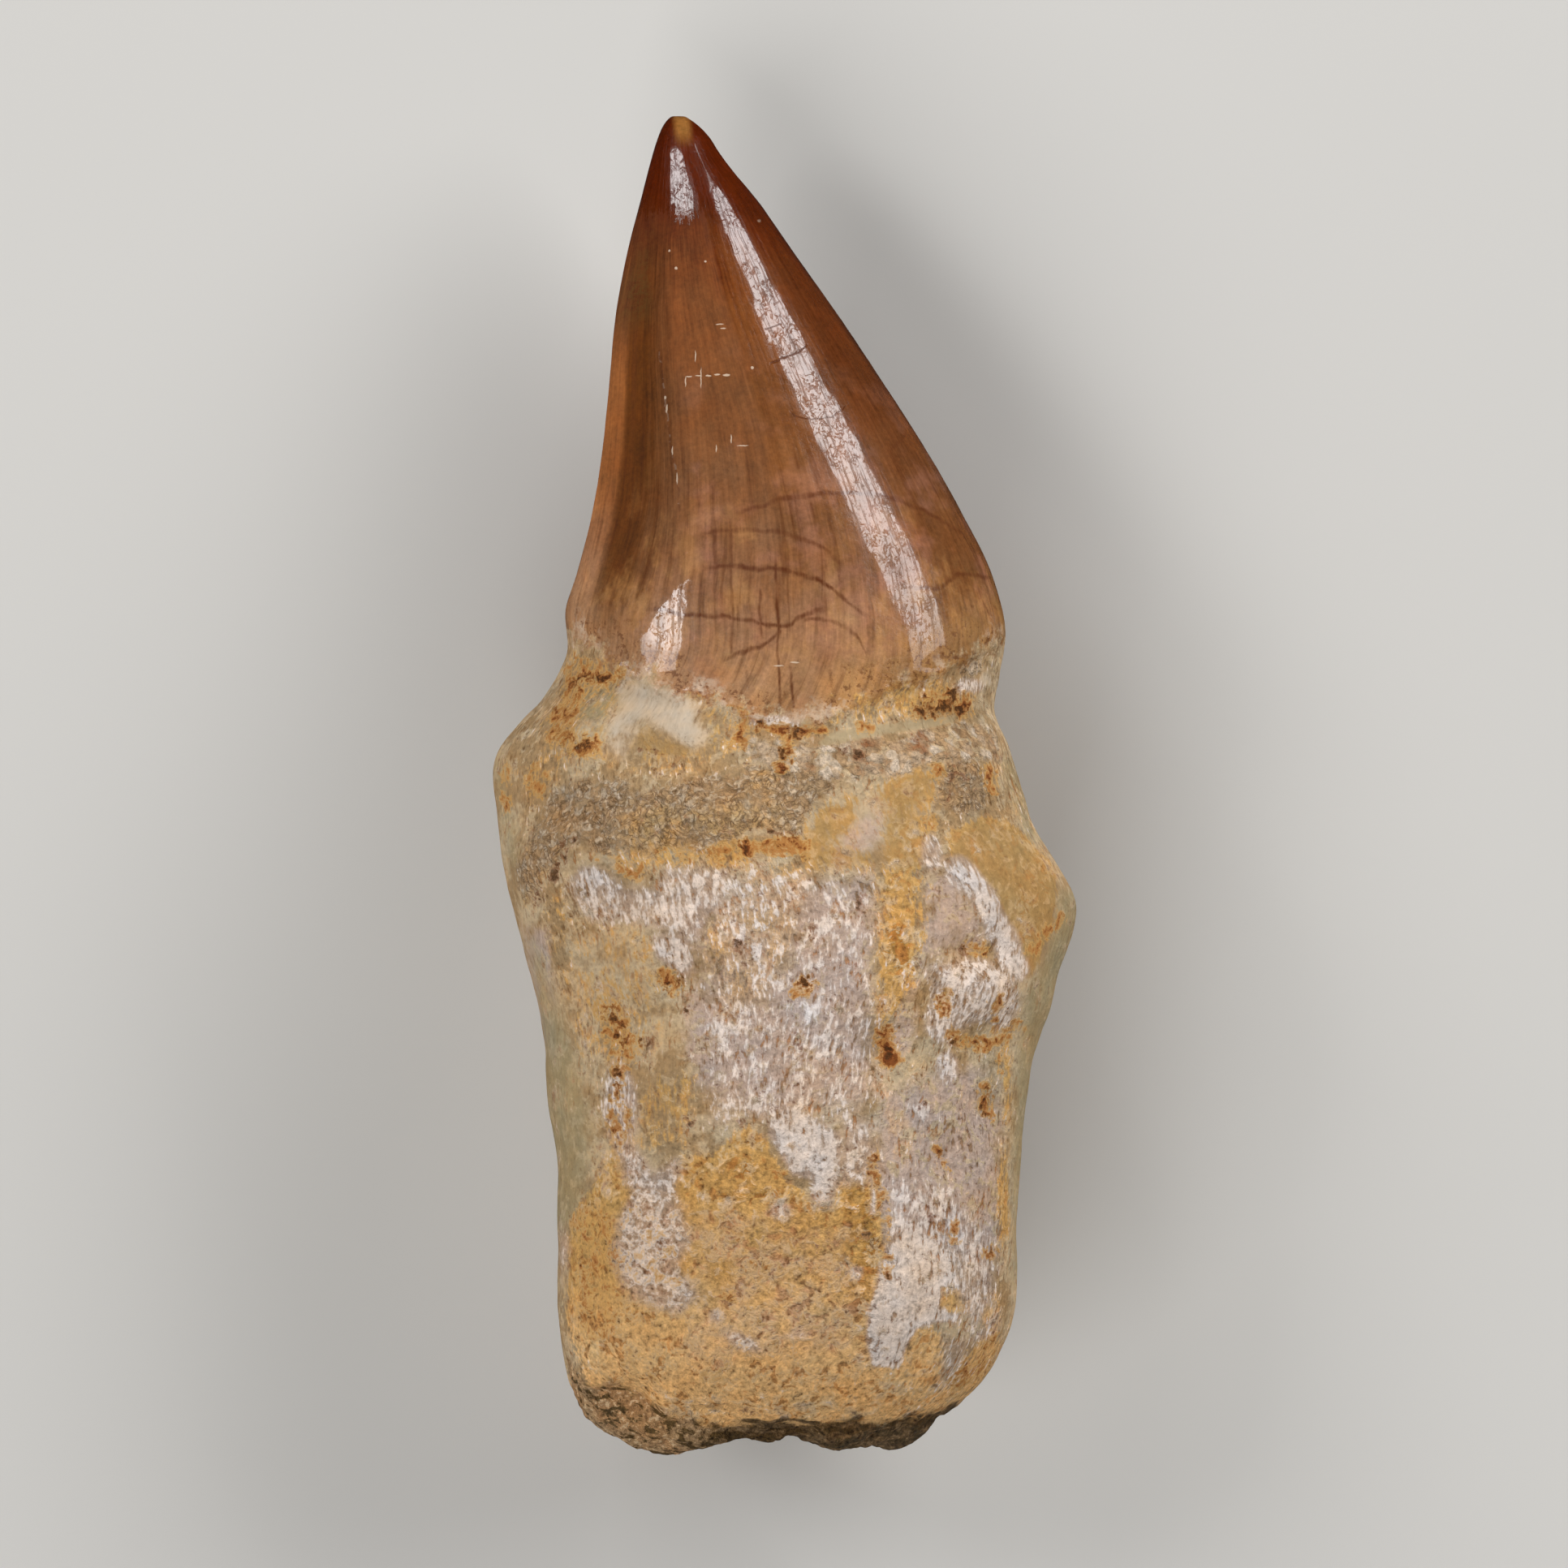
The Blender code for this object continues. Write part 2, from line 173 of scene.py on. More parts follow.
# Where each stain and flaw lies on the front. A strength under 1 leaves a mark broken up.
FRONT = {
    "ochre": [
        Area(0.92, 0.5, (5.35, 65.6), (5.7, 68), (6.1, 70.3), (5.5, 72), (5.3, 74), (5, 76), (7.2, 76.9),
             (7.6, 74.8), (9, 74.4), (9.6, 75.5), (9.3, 78.5), (10.8, 78), (11.6, 75.8), (13, 75.2),
             (12.2, 78), (9.8, 80.3), (0, 81.5), (-8, 81.5), (-12, 78.5), (-13.4, 74), (-13.3, 69),
             (-12.6, 67.3), (-10.8, 64.5), (-10.3, 60.5), (-9.7, 60.6), (-9.2, 64), (-8.6, 66),
             (-6.9, 65.8), (-6.3, 64.3), (-4, 63.6), (-2.2, 62), (-1, 63.4), (0.2, 65.4), (1.6, 66.6),
             (3.1, 67), (3.3, 65.9)),
        Spot(4.4, 69.4, 1.3, 4.8, 0, 1.35), Spot(-2.5, 65.5, 2.2, 1.6, 0, 1.2),
        Spot(1.5, 68.6, 2, 1.6, 0, 1.2),
        Area(0.85, 0.8, (5.7, 47.3), (6.2, 46.4), (8.1, 46.8), (8.3, 49.5), (8.1, 51.5), (7.6, 52.2),
             (7.5, 53.5), (6.9, 55.2), (5.8, 55.6), (5.5, 54), (5.6, 51.5), (6, 50)),
        Spot(6.9, 51.4, 0.9, 1.7, 0, 1.35),
        Area(0.8, 1, (1.3, 44.2), (2.2, 42.8), (4.2, 42.4), (4, 43.8), (2.6, 45.2), (5.2, 45.6),
             (5.5, 46.3), (2, 46.6), (1.2, 46)),
        Area(1, 1.2, (6.2, 41.4), (8, 40.5), (9, 40.8), (8.9, 42.2), (7.6, 42.6), (7.9, 43.8), (8.4, 44.6),
             (8.2, 47), (6.5, 46.7), (6.3, 44.5), (6.4, 43)),
        Area(0.6, 0.8, (2.3, 35.4), (5, 34.6), (9.4, 34.4), (9.2, 36.4), (6, 37.2), (2.6, 37.6)),
        Area(1.1, 0.4, (10.1, 44.4), (12.2, 43.3), (14.4, 44.2), (16.2, 46.3), (16.6, 47.8), (16.4, 49.6),
             (15.6, 51.6), (14.9, 53.2), (14.3, 52.4), (13.4, 50.4), (12.4, 48.2), (11.3, 47),
             (10.3, 46.3)),
        Area(0.62, 0.8, (-4.6, 49.8), (-2.6, 48.2), (-2.3, 46.6), (1, 46.4), (0.9, 49.5), (0.2, 52),
             (-1.7, 54.6), (-3.8, 54.4), (-4.6, 52.2)),
        Area(0.5, 0.8, (-14.2, 48.6), (-13.4, 48.2), (-13.6, 51.5), (-13.2, 54), (-14.3, 52)),
        Area(0.3, 1, (-13, 50.5), (-8, 50), (-7.6, 53), (-7.6, 56), (-9, 58), (-13, 58)),
        Area(0.4, 0.8, (-7.8, 58.6), (-5, 58.8), (-5.4, 60), (-6, 63.4), (-9, 63.8), (-9.6, 60.8)),
        Area(0.5, 0.6, (-9, 43.6), (-4, 44.4), (-2.2, 45.2), (-2, 46.6), (-7.6, 46.6), (-10.4, 45.8)),
        Area(0.3, 0.8, (-5.6, 35.6), (-2.8, 36.6), (-2.4, 39.6), (-5.6, 40.4), (-9.4, 40.2), (-13.4, 40.2),
             (-15.4, 42.4), (-16.2, 41), (-14, 36.6), (-12.4, 34), (-10, 33.6)),
        Spot(10, 72.6, 0.8, 1), Spot(8.2, 73.1, 0.6, 0.5), Spot(11.2, 73.2, 0.6, 0.4),
        Spot(8.5, 76, 1.1, 1.6), Spot(12.6, 73.7, 0.5, 1.2), Spot(13.4, 66.8, 0.3, 2.1),
        Spot(13.6, 59.5, 0.2, 1.6, 0, 0.8), Spot(12.8, 77, 0.8, 1.8, 20, 0.9),
    ],
    "chalk": [
        Area(0.62, 0.5, (-13.2, 47.6), (-12.4, 46.3), (-11.2, 46.3), (-9.6, 47.6), (-8, 47.6), (-7.3, 46.4),
             (-3.4, 46.4), (-3.6, 48.6), (-4.8, 49.8), (-5.4, 51), (-8.8, 49.8), (-11.8, 49.6)),
        Spot(-11.9, 47.2, 1, 0.8, 0, 0.9), Spot(11.4, 35.3, 0.7, 0.4, 0, 0.9),
        Spot(-9.8, 61.8, 1, 1.6, 0, 0.4),
        Area(1, 0.3, (-2.3, 37.6), (-1.2, 37.2), (0.2, 37.3), (1.2, 37.1), (0.8, 37.7), (-0.6, 37.8),
             (-1.8, 37.9)),
        Area(0.85, 0.3, (-7.9, 50.6), (-6.2, 50.5), (-5.6, 52), (-5.6, 53), (-6.8, 52.6), (-7.8, 51.8)),
        Area(0.42, 1, (-4.5, 46.6), (5.4, 46.6), (5.4, 62), (-4.8, 62), (-5.4, 54), (-4.4, 52)),
        Spot(-4.3, 56.2, 0.7, 0.6, 0, 0.8), Spot(2.8, 57, 1.1, 0.8, 0, 0.85),
        Spot(4.2, 55.8, 0.9, 0.8, 0, 0.75), Spot(2.2, 50, 0.5, 1.5, 0, 0.7),
        Spot(-1.8, 51.3, 0.8, 0.7, 0, 0.8), Spot(8.9, 45.6, 0.6, 1.1, 0, 0.7),
        Band(0.95, 0.7, (10.6, 46.4), (12, 48.2), (13.3, 50.6), (14.1, 52.6), softness=0.4),
        Area(0.75, 0.5, (8.9, 52.4), (11.2, 51.9), (13.7, 52.6), (14.3, 54.6), (13.7, 56.2), (11.8, 55.8),
             (10.6, 56.4), (9.4, 57.2), (8.5, 56.2), (8.9, 54.5)),
        Spot(9.9, 58.6, 0.7, 0.9, 0, 0.8), Spot(8.2, 61.3, 0.75, 0.6),
        Area(0.98, 0.35, (-0.6, 61.2), (0.6, 60.8), (2.2, 62), (3.4, 62.6), (3.3, 64.4), (3.1, 65.4),
             (2.6, 66.9), (1.8, 66.4), (1.6, 65.3), (0.4, 65), (-0.2, 63.8), (-0.9, 62.6)),
        Area(0.6, 0.5, (3.4, 61), (5.4, 62), (5.5, 64.5), (5.2, 65.6), (3.4, 65.8)),
        Area(1.8, 0.3, (6.3, 69.6), (7.4, 68.4), (8.8, 69), (10, 70.6), (10.4, 71.6), (9.4, 71.8),
             (9.2, 73.4), (10.6, 74), (9.2, 74), (7.9, 74.4), (7.3, 75.6), (6.8, 76.8), (5.5, 76.6),
             (5.1, 75), (5.3, 73.2), (5.9, 71.4)),
        Area(0.7, 0.6, (5.9, 65.5), (9.5, 65.6), (12.5, 69), (12.8, 73), (11.6, 74.6), (10.2, 72),
             (8.8, 69), (6.2, 69.2)),
        Band(0.9, 0.12, (5.6, 63.5), (5.4, 67.3)), Spot(-10, 60.8, 1, 2.6, 0, 0.62),
        Area(0.72, 0.6, (-10.6, 62.5), (-9.7, 62.4), (-8.2, 65), (-6.5, 64.2), (-6.6, 66.5), (-5.6, 69),
             (-6.4, 71), (-4.9, 72.6), (-6.8, 73.6), (-9.4, 72.6), (-10.6, 70.6), (-10.2, 67.6),
             (-9.4, 66.6), (-10.2, 64.5)),
        Area(0.24, 1, (-6.5, 66.5), (4.5, 67.5), (4.8, 76.5), (-6.5, 77)),
        Spot(-0.3, 67.3, 0.6, 0.5, 0, 0.8), Spot(4.3, 71.1, 0.35, 0.3, 0, 1),
        Spot(-2.5, 75.3, 1.4, 0.5, -25, 0.7), Spot(0.9, 74.8, 0.8, 0.3, 0, 0.7),
        Spot(-4.2, 73.7, 0.6, 0.5, 0, 0.6),
        Area(0.45, 0.5, (9.6, 75), (10.4, 75.2), (11.6, 74.8), (12.4, 74), (13.3, 73.4), (13, 75.2),
             (11.4, 75.8), (10.6, 77.8), (9.6, 78.6)),
        Spot(-13.6, 70, 0.4, 1.5, 0, 0.5),
    ],
    "lilac": [
        # The first mark greys the left edge: painted shade where the side turns away.
        Area(0.9, 0.6, (-16, 50), (-14.4, 50), (-13.9, 58), (-15.6, 58)),
        Area(0.95, 1, (-5.8, 54.2), (-1.8, 55), (0.2, 52.4), (1.1, 47.8), (5.2, 47), (5.4, 50), (5.3, 55.6),
             (5.2, 60.4), (0.5, 60.8), (-2.4, 60.8), (-5.4, 59.6), (-5.9, 56.4)),
        Area(0.85, 0.8, (8.4, 46.8), (10.4, 47), (12.2, 50), (11.6, 51.4), (8.8, 51.8), (8.2, 54), (8, 57),
             (5.6, 59.4), (6.4, 55.8), (7.8, 52.8), (8.3, 50)),
        Area(0.95, 1, (5.6, 60), (12.6, 58), (13.2, 60), (13.2, 70), (12.4, 72), (9.5, 69.4), (6.2, 69),
             (5.6, 65)),
        Area(0.7, 0.7, (3, 44.6), (4.6, 42.8), (6.2, 42.8), (6.2, 44.6), (5.4, 46), (3.6, 45.8)),
        Area(0.6, 1, (-7.6, 47.6), (-4, 47.6), (-4, 50), (-7.4, 49.8)), Spot(-4.5, 51.5, 2.5, 2.5, 0, 0.5),
    ],
    # Greenish grey bone; the marks along the sides are partly painted shade where the sides turn away.
    "olive": [
        Area(1, 0.6, (16.9, 47.8), (18.3, 48), (18, 51), (16, 57), (15.2, 64), (14.8, 72), (14, 72),
             (14, 64), (14.2, 58), (15, 54), (16.4, 50.6)),
        Area(0.8, 0.8, (-18.2, 39.5), (-17.2, 39.5), (-16.8, 43), (-16, 46), (-16.8, 47)),
        Area(1, 1, (-15.6, 50), (-14.2, 54.2), (-12.8, 58), (-11.9, 62), (-12.2, 66), (-13, 69),
             (-14.8, 69), (-15.2, 60)),
        Area(1, 0.5, (-12.9, 36.2), (-12.2, 35.6), (-10.4, 35.3), (-10.3, 37), (-12.6, 37.5)),
        Area(0.9, 0.6, (13.2, 39.5), (14.2, 39.8), (15.6, 43.6), (16.4, 45.2), (15, 44.6), (13.9, 42.4)),
        Area(0.6, 0.6, (11.4, 57.4), (13.4, 57.6), (13.2, 61.5), (11.6, 61.5)),
        Spot(-1.5, 65.9, 0.6, 0.5, 0, 0.9), Spot(2.2, 69.6, 0.8, 0.4, 0, 0.8),
    ],
    "rust": [
        Area(0.8, 0.5, (-13.4, 33.2), (-11.6, 33.6), (-10.2, 33), (-9.4, 34.4), (-11.2, 35.6), (-12.2, 36),
             (-13.2, 38.4), (-14.4, 39), (-14.9, 37.6), (-13.8, 36)),
        Spot(-12.3, 38.9, 1.3, 0.9, -10, 0.6), Spot(-15.2, 41.3, 0.8, 1.3, 0, 0.62),
        Spot(-17.1, 41.6, 0.35, 1.2, 0, 0.7), Band(0.6, 0.25, (-8.8, 34.2), (-6.9, 34.7), (-5.6, 35.2)),
        Spot(-5.3, 35.5, 0.6, 0.4, 0, 0.95), Band(0.75, 0.35, (-3.4, 36.2), (-2.5, 37.1), (-2.2, 37.9)),
        Band(1.3, 0.3, (-1.5, 37.85), (-0.4, 37.95), (0.6, 38.2)), Band(1.2, 0.25, (0.6, 38.2), (2.4, 38)),
        Band(1.15, 0.4, (0, 38.2), (0.2, 39.2), (-0.2, 40.2)), Spot(-2.7, 38.4, 0.9, 0.9, 0, 0.8),
        Area(1, 0.6, (7.6, 36.6), (8.2, 35.9), (10, 35.4), (11.4, 36), (11.4, 37.1), (9.6, 37.3),
             (8, 37.2)),
        Spot(-5.1, 35.5, 0.7, 0.4, 0, 1.3), Spot(4.8, 37.9, 0.5, 0.4, 0, 0.9),
        Area(0.6, 0.3, (-12, 45.6), (-11, 45.9), (-10.2, 45.6), (-9.6, 46), (-8.6, 46), (-8.2, 46.7),
             (-8.8, 47.4), (-9.6, 47.2), (-10.4, 46.8), (-11, 46.2)),
        Area(0.75, 0.4, (-4.8, 45.2), (-3, 44.6), (-2.4, 44.8), (-2.8, 46), (-4.4, 46.4)),
        Area(1.2, 0.3, (-2.6, 44.6), (0.8, 44.5), (1.6, 44.9), (1.2, 45.5), (-1.4, 45.6), (-2.8, 45.6)),
        Area(0.45, 0.6, (-8.2, 44.9), (-5.6, 45.4), (-5.6, 46.4), (-7.6, 46.3)),
        Spot(8.8, 43.7, 0.6, 0.5, 0, 0.9), Spot(9.3, 40.6, 0.5, 0.6, 0, 0.8),
        Spot(12.5, 40.6, 0.5, 0.6, 0, 0.9), Spot(12.7, 41.6, 0.35, 0.35, 0, 1.1),
        Band(0.7, 0.4, (15.1, 51.6), (15.8, 50.8), (16.8, 49.6)),
        Area(1.1, 0.2, (10.8, 51.1), (12.2, 50.9), (12.6, 51.4), (12.2, 51.9), (11.2, 51.6)),
        Spot(9.7, 54.6, 0.45, 0.85),
        Band(1, 0.4, (10.2, 56.5), (11.2, 57.1), (12.2, 57.2), (13.2, 57), (14.2, 56.2)),
        Spot(13, 54.5, 0.6, 0.35), Band(0.9, 0.12, (12.8, 54.6), (12.75, 56.4)),
        Spot(13.2, 58.3, 0.25, 0.5), Spot(12.3, 60.8, 0.45, 1, 10, 1),
        Band(1, 0.25, (9.3, 63.6), (10, 64.6)),
        Area(1.1, 0.25, (5.4, 56), (6.6, 55.9), (6.7, 57.2), (7.1, 58.2), (6.4, 58.9), (5.8, 58),
             (5.3, 56.8)),
        Area(0.62, 0.5, (-11.4, 54.4), (-10.2, 54.6), (-9.2, 56.6), (-8.6, 57.2), (-9.2, 58.4), (-9.8, 60),
             (-9.4, 62), (-10.2, 64.6), (-10.8, 62), (-10.4, 59), (-11.2, 57)),
        Spot(1.1, 53.7, 0.9, 0.5, 35, 0.8), Spot(-7, 53.3, 0.8, 1, 20, 0.5),
        Spot(-0.7, 65.2, 1, 0.4, 0, 0.8), Spot(-3.6, 72.6, 0.6, 0.5, 0, 0.6),
        Area(0.5, 0.8, (-13, 67.6), (-11.4, 67), (-9.8, 68), (-9.8, 72), (-10.4, 75), (-12.6, 75.6)),
        Area(0.22, 1, (-12, 66), (5, 67), (5, 78), (-12, 79)),
        Band(0.6, 0.3, (5.9, 66), (6.2, 68.6), (6.3, 71.2)), Spot(5.4, 64.6, 0.3, 0.9, 0, 0.9),
        Spot(10.4, 68.5, 0.4, 1, 0, 0.6), Spot(12.6, 70, 0.5, 0.4, 0, 0.8),
        Area(0.5, 0.8, (9.8, 77.5), (11.6, 75.4), (13.4, 74.4), (12.6, 77.6), (10.6, 79.4)),
    ],
    "dark": [
        Area(0.7, 0.4, (-13.2, 34.6), (-11.6, 34.4), (-10.6, 34.7), (-11.2, 35.2), (-12.4, 35.3),
             (-13.2, 36.4)),
        Band(0.6, 0.12, (-9.2, 39.1), (-8.2, 39.3), (-7.3, 39.5)), Spot(-5, 35.4, 0.3, 0.2, 0, 1.1),
        Spot(-1.4, 37.9, 0.6, 0.3, 0, 1, 0.1), Spot(0.5, 38.2, 0.5, 0.4, 0, 1.1, 0.15),
        Spot(-0.1, 39.6, 0.4, 0.7, 0, 1, 0.15), Spot(3.8, 39.5, 0.35, 0.3, 0, 0.7),
        Spot(-12.4, 38.7, 0.8, 0.6, 0, 0.45), Spot(-10.6, 32.8, 0.9, 0.7, 0, 0.5),
        Area(0.95, 0.4, (7.8, 36.6), (8.4, 36), (9.8, 36), (10.4, 35.2), (10.8, 35.4), (10.7, 36.4),
             (11.3, 36.9), (9.6, 37.3), (8, 37.1)),
        Spot(7.9, 38.6, 0.35, 0.3, 0, 0.8, 0.12), Spot(4.4, 39.6, 0.35, 0.35, 0, 0.6, 0.1),
        Spot(3.6, 39.2, 0.3, 0.3, 0, 0.8), Spot(1.6, 39.6, 0.25, 0.3, 0, 0.8),
        Area(0.25, 0.5, (9.2, 41.2), (10.2, 40), (11.8, 40), (12.4, 41.6), (12, 42.8), (10.4, 43),
             (9.4, 42.4)),
        Band(0.55, 0.28, (-12.9, 44.8), (-13.4, 45.8), (-14.1, 46.8), (-14.6, 47.6),
             (-15.2, 48.6), depth=0.12),
        Spot(-13.3, 45.4, 0.5, 0.8, 20, 0.5),
        Band(1, 0.13, (-2.3, 44.75), (-1.4, 44.3), (-0.3, 44.25), (0.8, 44.5), depth=0.1),
        Spot(-2.5, 45, 0.35, 0.5, 0, 0.8), Spot(11, 51.4, 0.35, 0.3, 0, 1, 0.2),
        Spot(12.3, 51.5, 0.3, 0.25, 0, 0.9, 0.12), Spot(9.7, 54.4, 0.3, 0.4, 0, 1, 0.2),
        Spot(9.8, 55.1, 0.2, 0.2, 0, 0.9), Spot(10.4, 57, 0.35, 0.3, 0, 1, 0.2),
        Spot(11.6, 57.2, 0.25, 0.2, 0, 0.9, 0.1), Spot(6.1, 56.2, 0.4, 0.35, 0, 0.9, 0.15),
        Spot(6.2, 57.6, 0.3, 0.4, 0, 0.9, 0.2), Spot(12.4, 60.4, 0.3, 0.4, 0, 1, 0.15),
        Spot(12.1, 61.2, 0.2, 0.4, 0, 0.9), Spot(9.6, 64, 0.2, 0.5, -30, 1.1, 0.2),
        Spot(8.8, 67.6, 0.17, 0.55, 0, 1.1, 0.2), Spot(4.65, 48.7, 0.12, 0.6, 0, 1.2, 0.1),
        Spot(4.5, 50.2, 0.1, 0.35), Spot(1.7, 50.3, 0.15, 0.4, 0, 0.9),
        Spot(2.6, 52.2, 0.3, 0.25, 0, 1, 0.1), Spot(4.1, 52.4, 0.25, 0.3, 0, 1, 0.1),
        Spot(1.3, 53.4, 0.6, 0.3, 35, 0.9, 0.15), Spot(-2.9, 51.3, 0.3, 0.5, 0, 0.8),
        Spot(-6.4, 53, 0.3, 0.5, 0, 0.85, 0.1), Spot(-7.3, 53.8, 0.25, 0.25, 0, 0.9),
        Spot(-6, 55.2, 0.12, 0.12, 0, 1.3), Spot(-10.7, 55.4, 0.6, 0.6, 20, 0.62, 0.1),
        Spot(-10, 56.8, 0.35, 0.8, 0, 0.65, 0.1), Spot(-8.6, 57, 0.3, 0.25, 0, 0.8),
        Spot(-10.2, 59.2, 0.2, 0.8, 0, 0.7), Spot(-2.7, 62, 0.17, 0.17, 0, 1.6, 0.15),
        Spot(-5.8, 61.6, 0.35, 0.5, 0, 0.62), Spot(-3.5, 68.3, 0.35, 0.3, 0, 0.9, 0.12),
        Spot(5, 68.8, 0.3, 0.25, 0, 1, 0.15), Spot(-5.1, 70.1, 0.3, 0.25, 0, 0.65),
        Spot(-2.9, 70.4, 0.3, 0.3, 0, 0.65), Spot(0.7, 69.2, 0.2, 0.2, 0, 0.9),
        Spot(2.2, 69.6, 0.5, 0.3, 0, 0.55), Spot(-8.4, 67.2, 0.25, 0.3, 0, 0.8),
        Spot(-9.9, 64.9, 0.35, 0.4, 0, 0.7), Spot(-12.4, 70.2, 0.3, 0.5, 0, 0.75),
        Spot(-5.6, 77.8, 0.15, 0.2, 0, 1.2), Spot(6.3, 71.3, 0.2, 0.25, 0, 0.9), Spot(12.6, 69.9, 0.2, 0.2),
        Spot(5.3, 64.4, 0.15, 0.5, 0, 1, 0.1), Spot(8.4, 61, 0.15, 0.2, 0, 1.1),
        # The dark bands along the broken end's edge are partly painted shade in the seam there.
        Band(0.65, 0.3, (-11.8, 78.9), (-10.4, 78.4), (-9.2, 78.6), (-8.4, 79.4), (-7, 80.3),
             (-5, 80.8), depth=0.2),
        Band(0.6, 0.4, (-5, 80.8), (-2, 81.1), (1, 81), (4, 80.8), (7, 80.7), (9.4, 80.4), depth=0.25),
        Spot(-9.8, 79.3, 0.9, 0.5, 0, 0.6, 0.2), Band(0.6, 0.2, (-3.6, 79.2), (-1.6, 79.8), (-0.4, 80.4)),
    ],
    "grit": [
        Area(0.4, 0.8, (-14.5, 35), (-12, 33.4), (-9.8, 33), (-9.6, 35.2), (-11, 37.8), (-12.6, 40.2),
             (-15.4, 41)),
        Area(1, 0.5, (-14.6, 42.2), (-13.2, 41.2), (-10.4, 40.9), (-8.6, 41.9), (-5.4, 41), (-2.8, 40.4),
             (-0.8, 40.2), (0.6, 39.8), (3, 41.2), (2, 42.2), (1.1, 43.2), (0.9, 44.2), (-1.6, 44),
             (-3.2, 44.6), (-4.8, 45.4), (-7, 45.2), (-8.6, 45.6), (-11.4, 45.4), (-13, 44.8),
             (-14.8, 46.6), (-16, 48.6), (-16.6, 46.5), (-15.4, 44.6)),
        Area(0.9, 0.5, (9, 41.2), (10.2, 39.8), (11.9, 39.8), (12.6, 41.6), (12.2, 43), (10.4, 43.3),
             (9.2, 42.6)),
    ],
    "gravel": [
        Area(1, 0.4, (-2.8, 38.2), (-1, 38.4), (0.8, 38.9), (3, 38.9), (5, 38.6), (8, 38.2), (10.4, 37.7),
             (12, 37.4), (13.2, 38.4), (13.2, 39.8), (11, 39.8), (9, 39.9), (7.6, 40.6), (5.4, 40.9),
             (3.2, 41.2), (1.4, 40.4), (-0.6, 40.4), (-2.4, 39.4)),
        Area(0.6, 0.5, (-10.4, 33.2), (-9, 33.6), (-8.8, 35), (-10, 35.6)),
        Spot(11.2, 34.2, 0.7, 0.5, 0, 0.8),
    ],
    "putty": [
        Area(1.1, 0.2, (1.8, 38.9), (2.6, 38.2), (5, 37.8), (8, 37.4), (10.6, 37), (10.4, 37.6), (8, 38),
             (5, 38.5), (2.6, 39)),
        Spot(1.5, 37.3, 0.8, 0.7, 0, 0.8),
    ],
    "plaster": [
        Area(1.05, 0.6, (-10, 35.4), (-9, 34.8), (-6.8, 35.3), (-5.2, 36.8), (-4.8, 38.9), (-5.6, 39.2),
             (-6.9, 38.6), (-8.6, 37.6), (-9.4, 39.1), (-9.8, 40), (-10.9, 39.4), (-10.9, 37.7),
             (-10.2, 36.6)),
        Band(0.85, 0.2, (-9.9, 33.4), (-9.7, 34.4), (-9.3, 35.4)), Spot(12.5, 34.9, 0.5, 0.5, 0, 0.8),
    ],
    "chip": [
        Area(1, 0.25, (-8.5, 37.6), (-9, 38.2), (-9.3, 39.1), (-7.4, 39.6), (-5.6, 39.6), (-5.7, 39.1),
             (-7.4, 38.6)),
    ],
    "rubble": [
        Area(0.9, 0.6, (-13.4, 76.8), (-12, 78.2), (-10.6, 77.9), (-9.2, 78.3), (-8.2, 79.2), (-6.6, 80.1),
             (-4, 80.6), (-1, 80.3), (1.4, 80.6), (4, 80.2), (7.4, 80.2), (9.4, 79.6), (10.6, 79.2),
             (10.6, 83), (-13.4, 83)),
    ],
    "smooth": [
        Area(1, 0.6, (10.1, 44.4), (12.2, 43.3), (14.4, 44.2), (16.2, 46.3), (18.4, 47.8), (18, 51),
             (16.2, 57), (15.2, 64), (14.8, 74), (13.8, 74), (13.8, 62), (14.4, 55), (14.3, 52.4),
             (12.4, 48.2), (11.3, 47), (10.3, 46.3)),
        Area(0.9, 0.5, (1.3, 44.2), (2.2, 42.6), (6, 41.4), (8, 40.5), (9, 40.8), (8.9, 42.2), (8.2, 43.6),
             (8.4, 46.4), (5.5, 46.4), (2, 46.4), (1.2, 45.6)),
        Area(1, 0.8, (-18.2, 39.5), (-16.8, 40), (-16.2, 46), (-15.2, 50), (-13.6, 54.2), (-12.4, 58),
             (-11.6, 62), (-12, 66), (-13.4, 69), (-13.8, 76), (-15, 76), (-15.4, 60), (-17, 48)),
        Area(0.7, 0.6, (-12.8, 36.2), (-10.4, 35.2), (-9.4, 34.5), (-7.6, 34.4), (-4.9, 36.2), (-3.8, 37.5),
             (-4.3, 39.5), (-9.7, 40), (-11.1, 39.1), (-12.6, 38)),
        Area(0.55, 1, (-8, 50.5), (-13, 50.5), (-13, 54), (-11.8, 56), (-9, 55), (-8.4, 58), (-8.8, 62),
             (-6.2, 62), (-5.8, 55), (-8, 54)),
        Area(0.5, 0.8, (8.6, 46.8), (10.4, 47), (12, 50), (8.8, 51.6)),
    ],
}

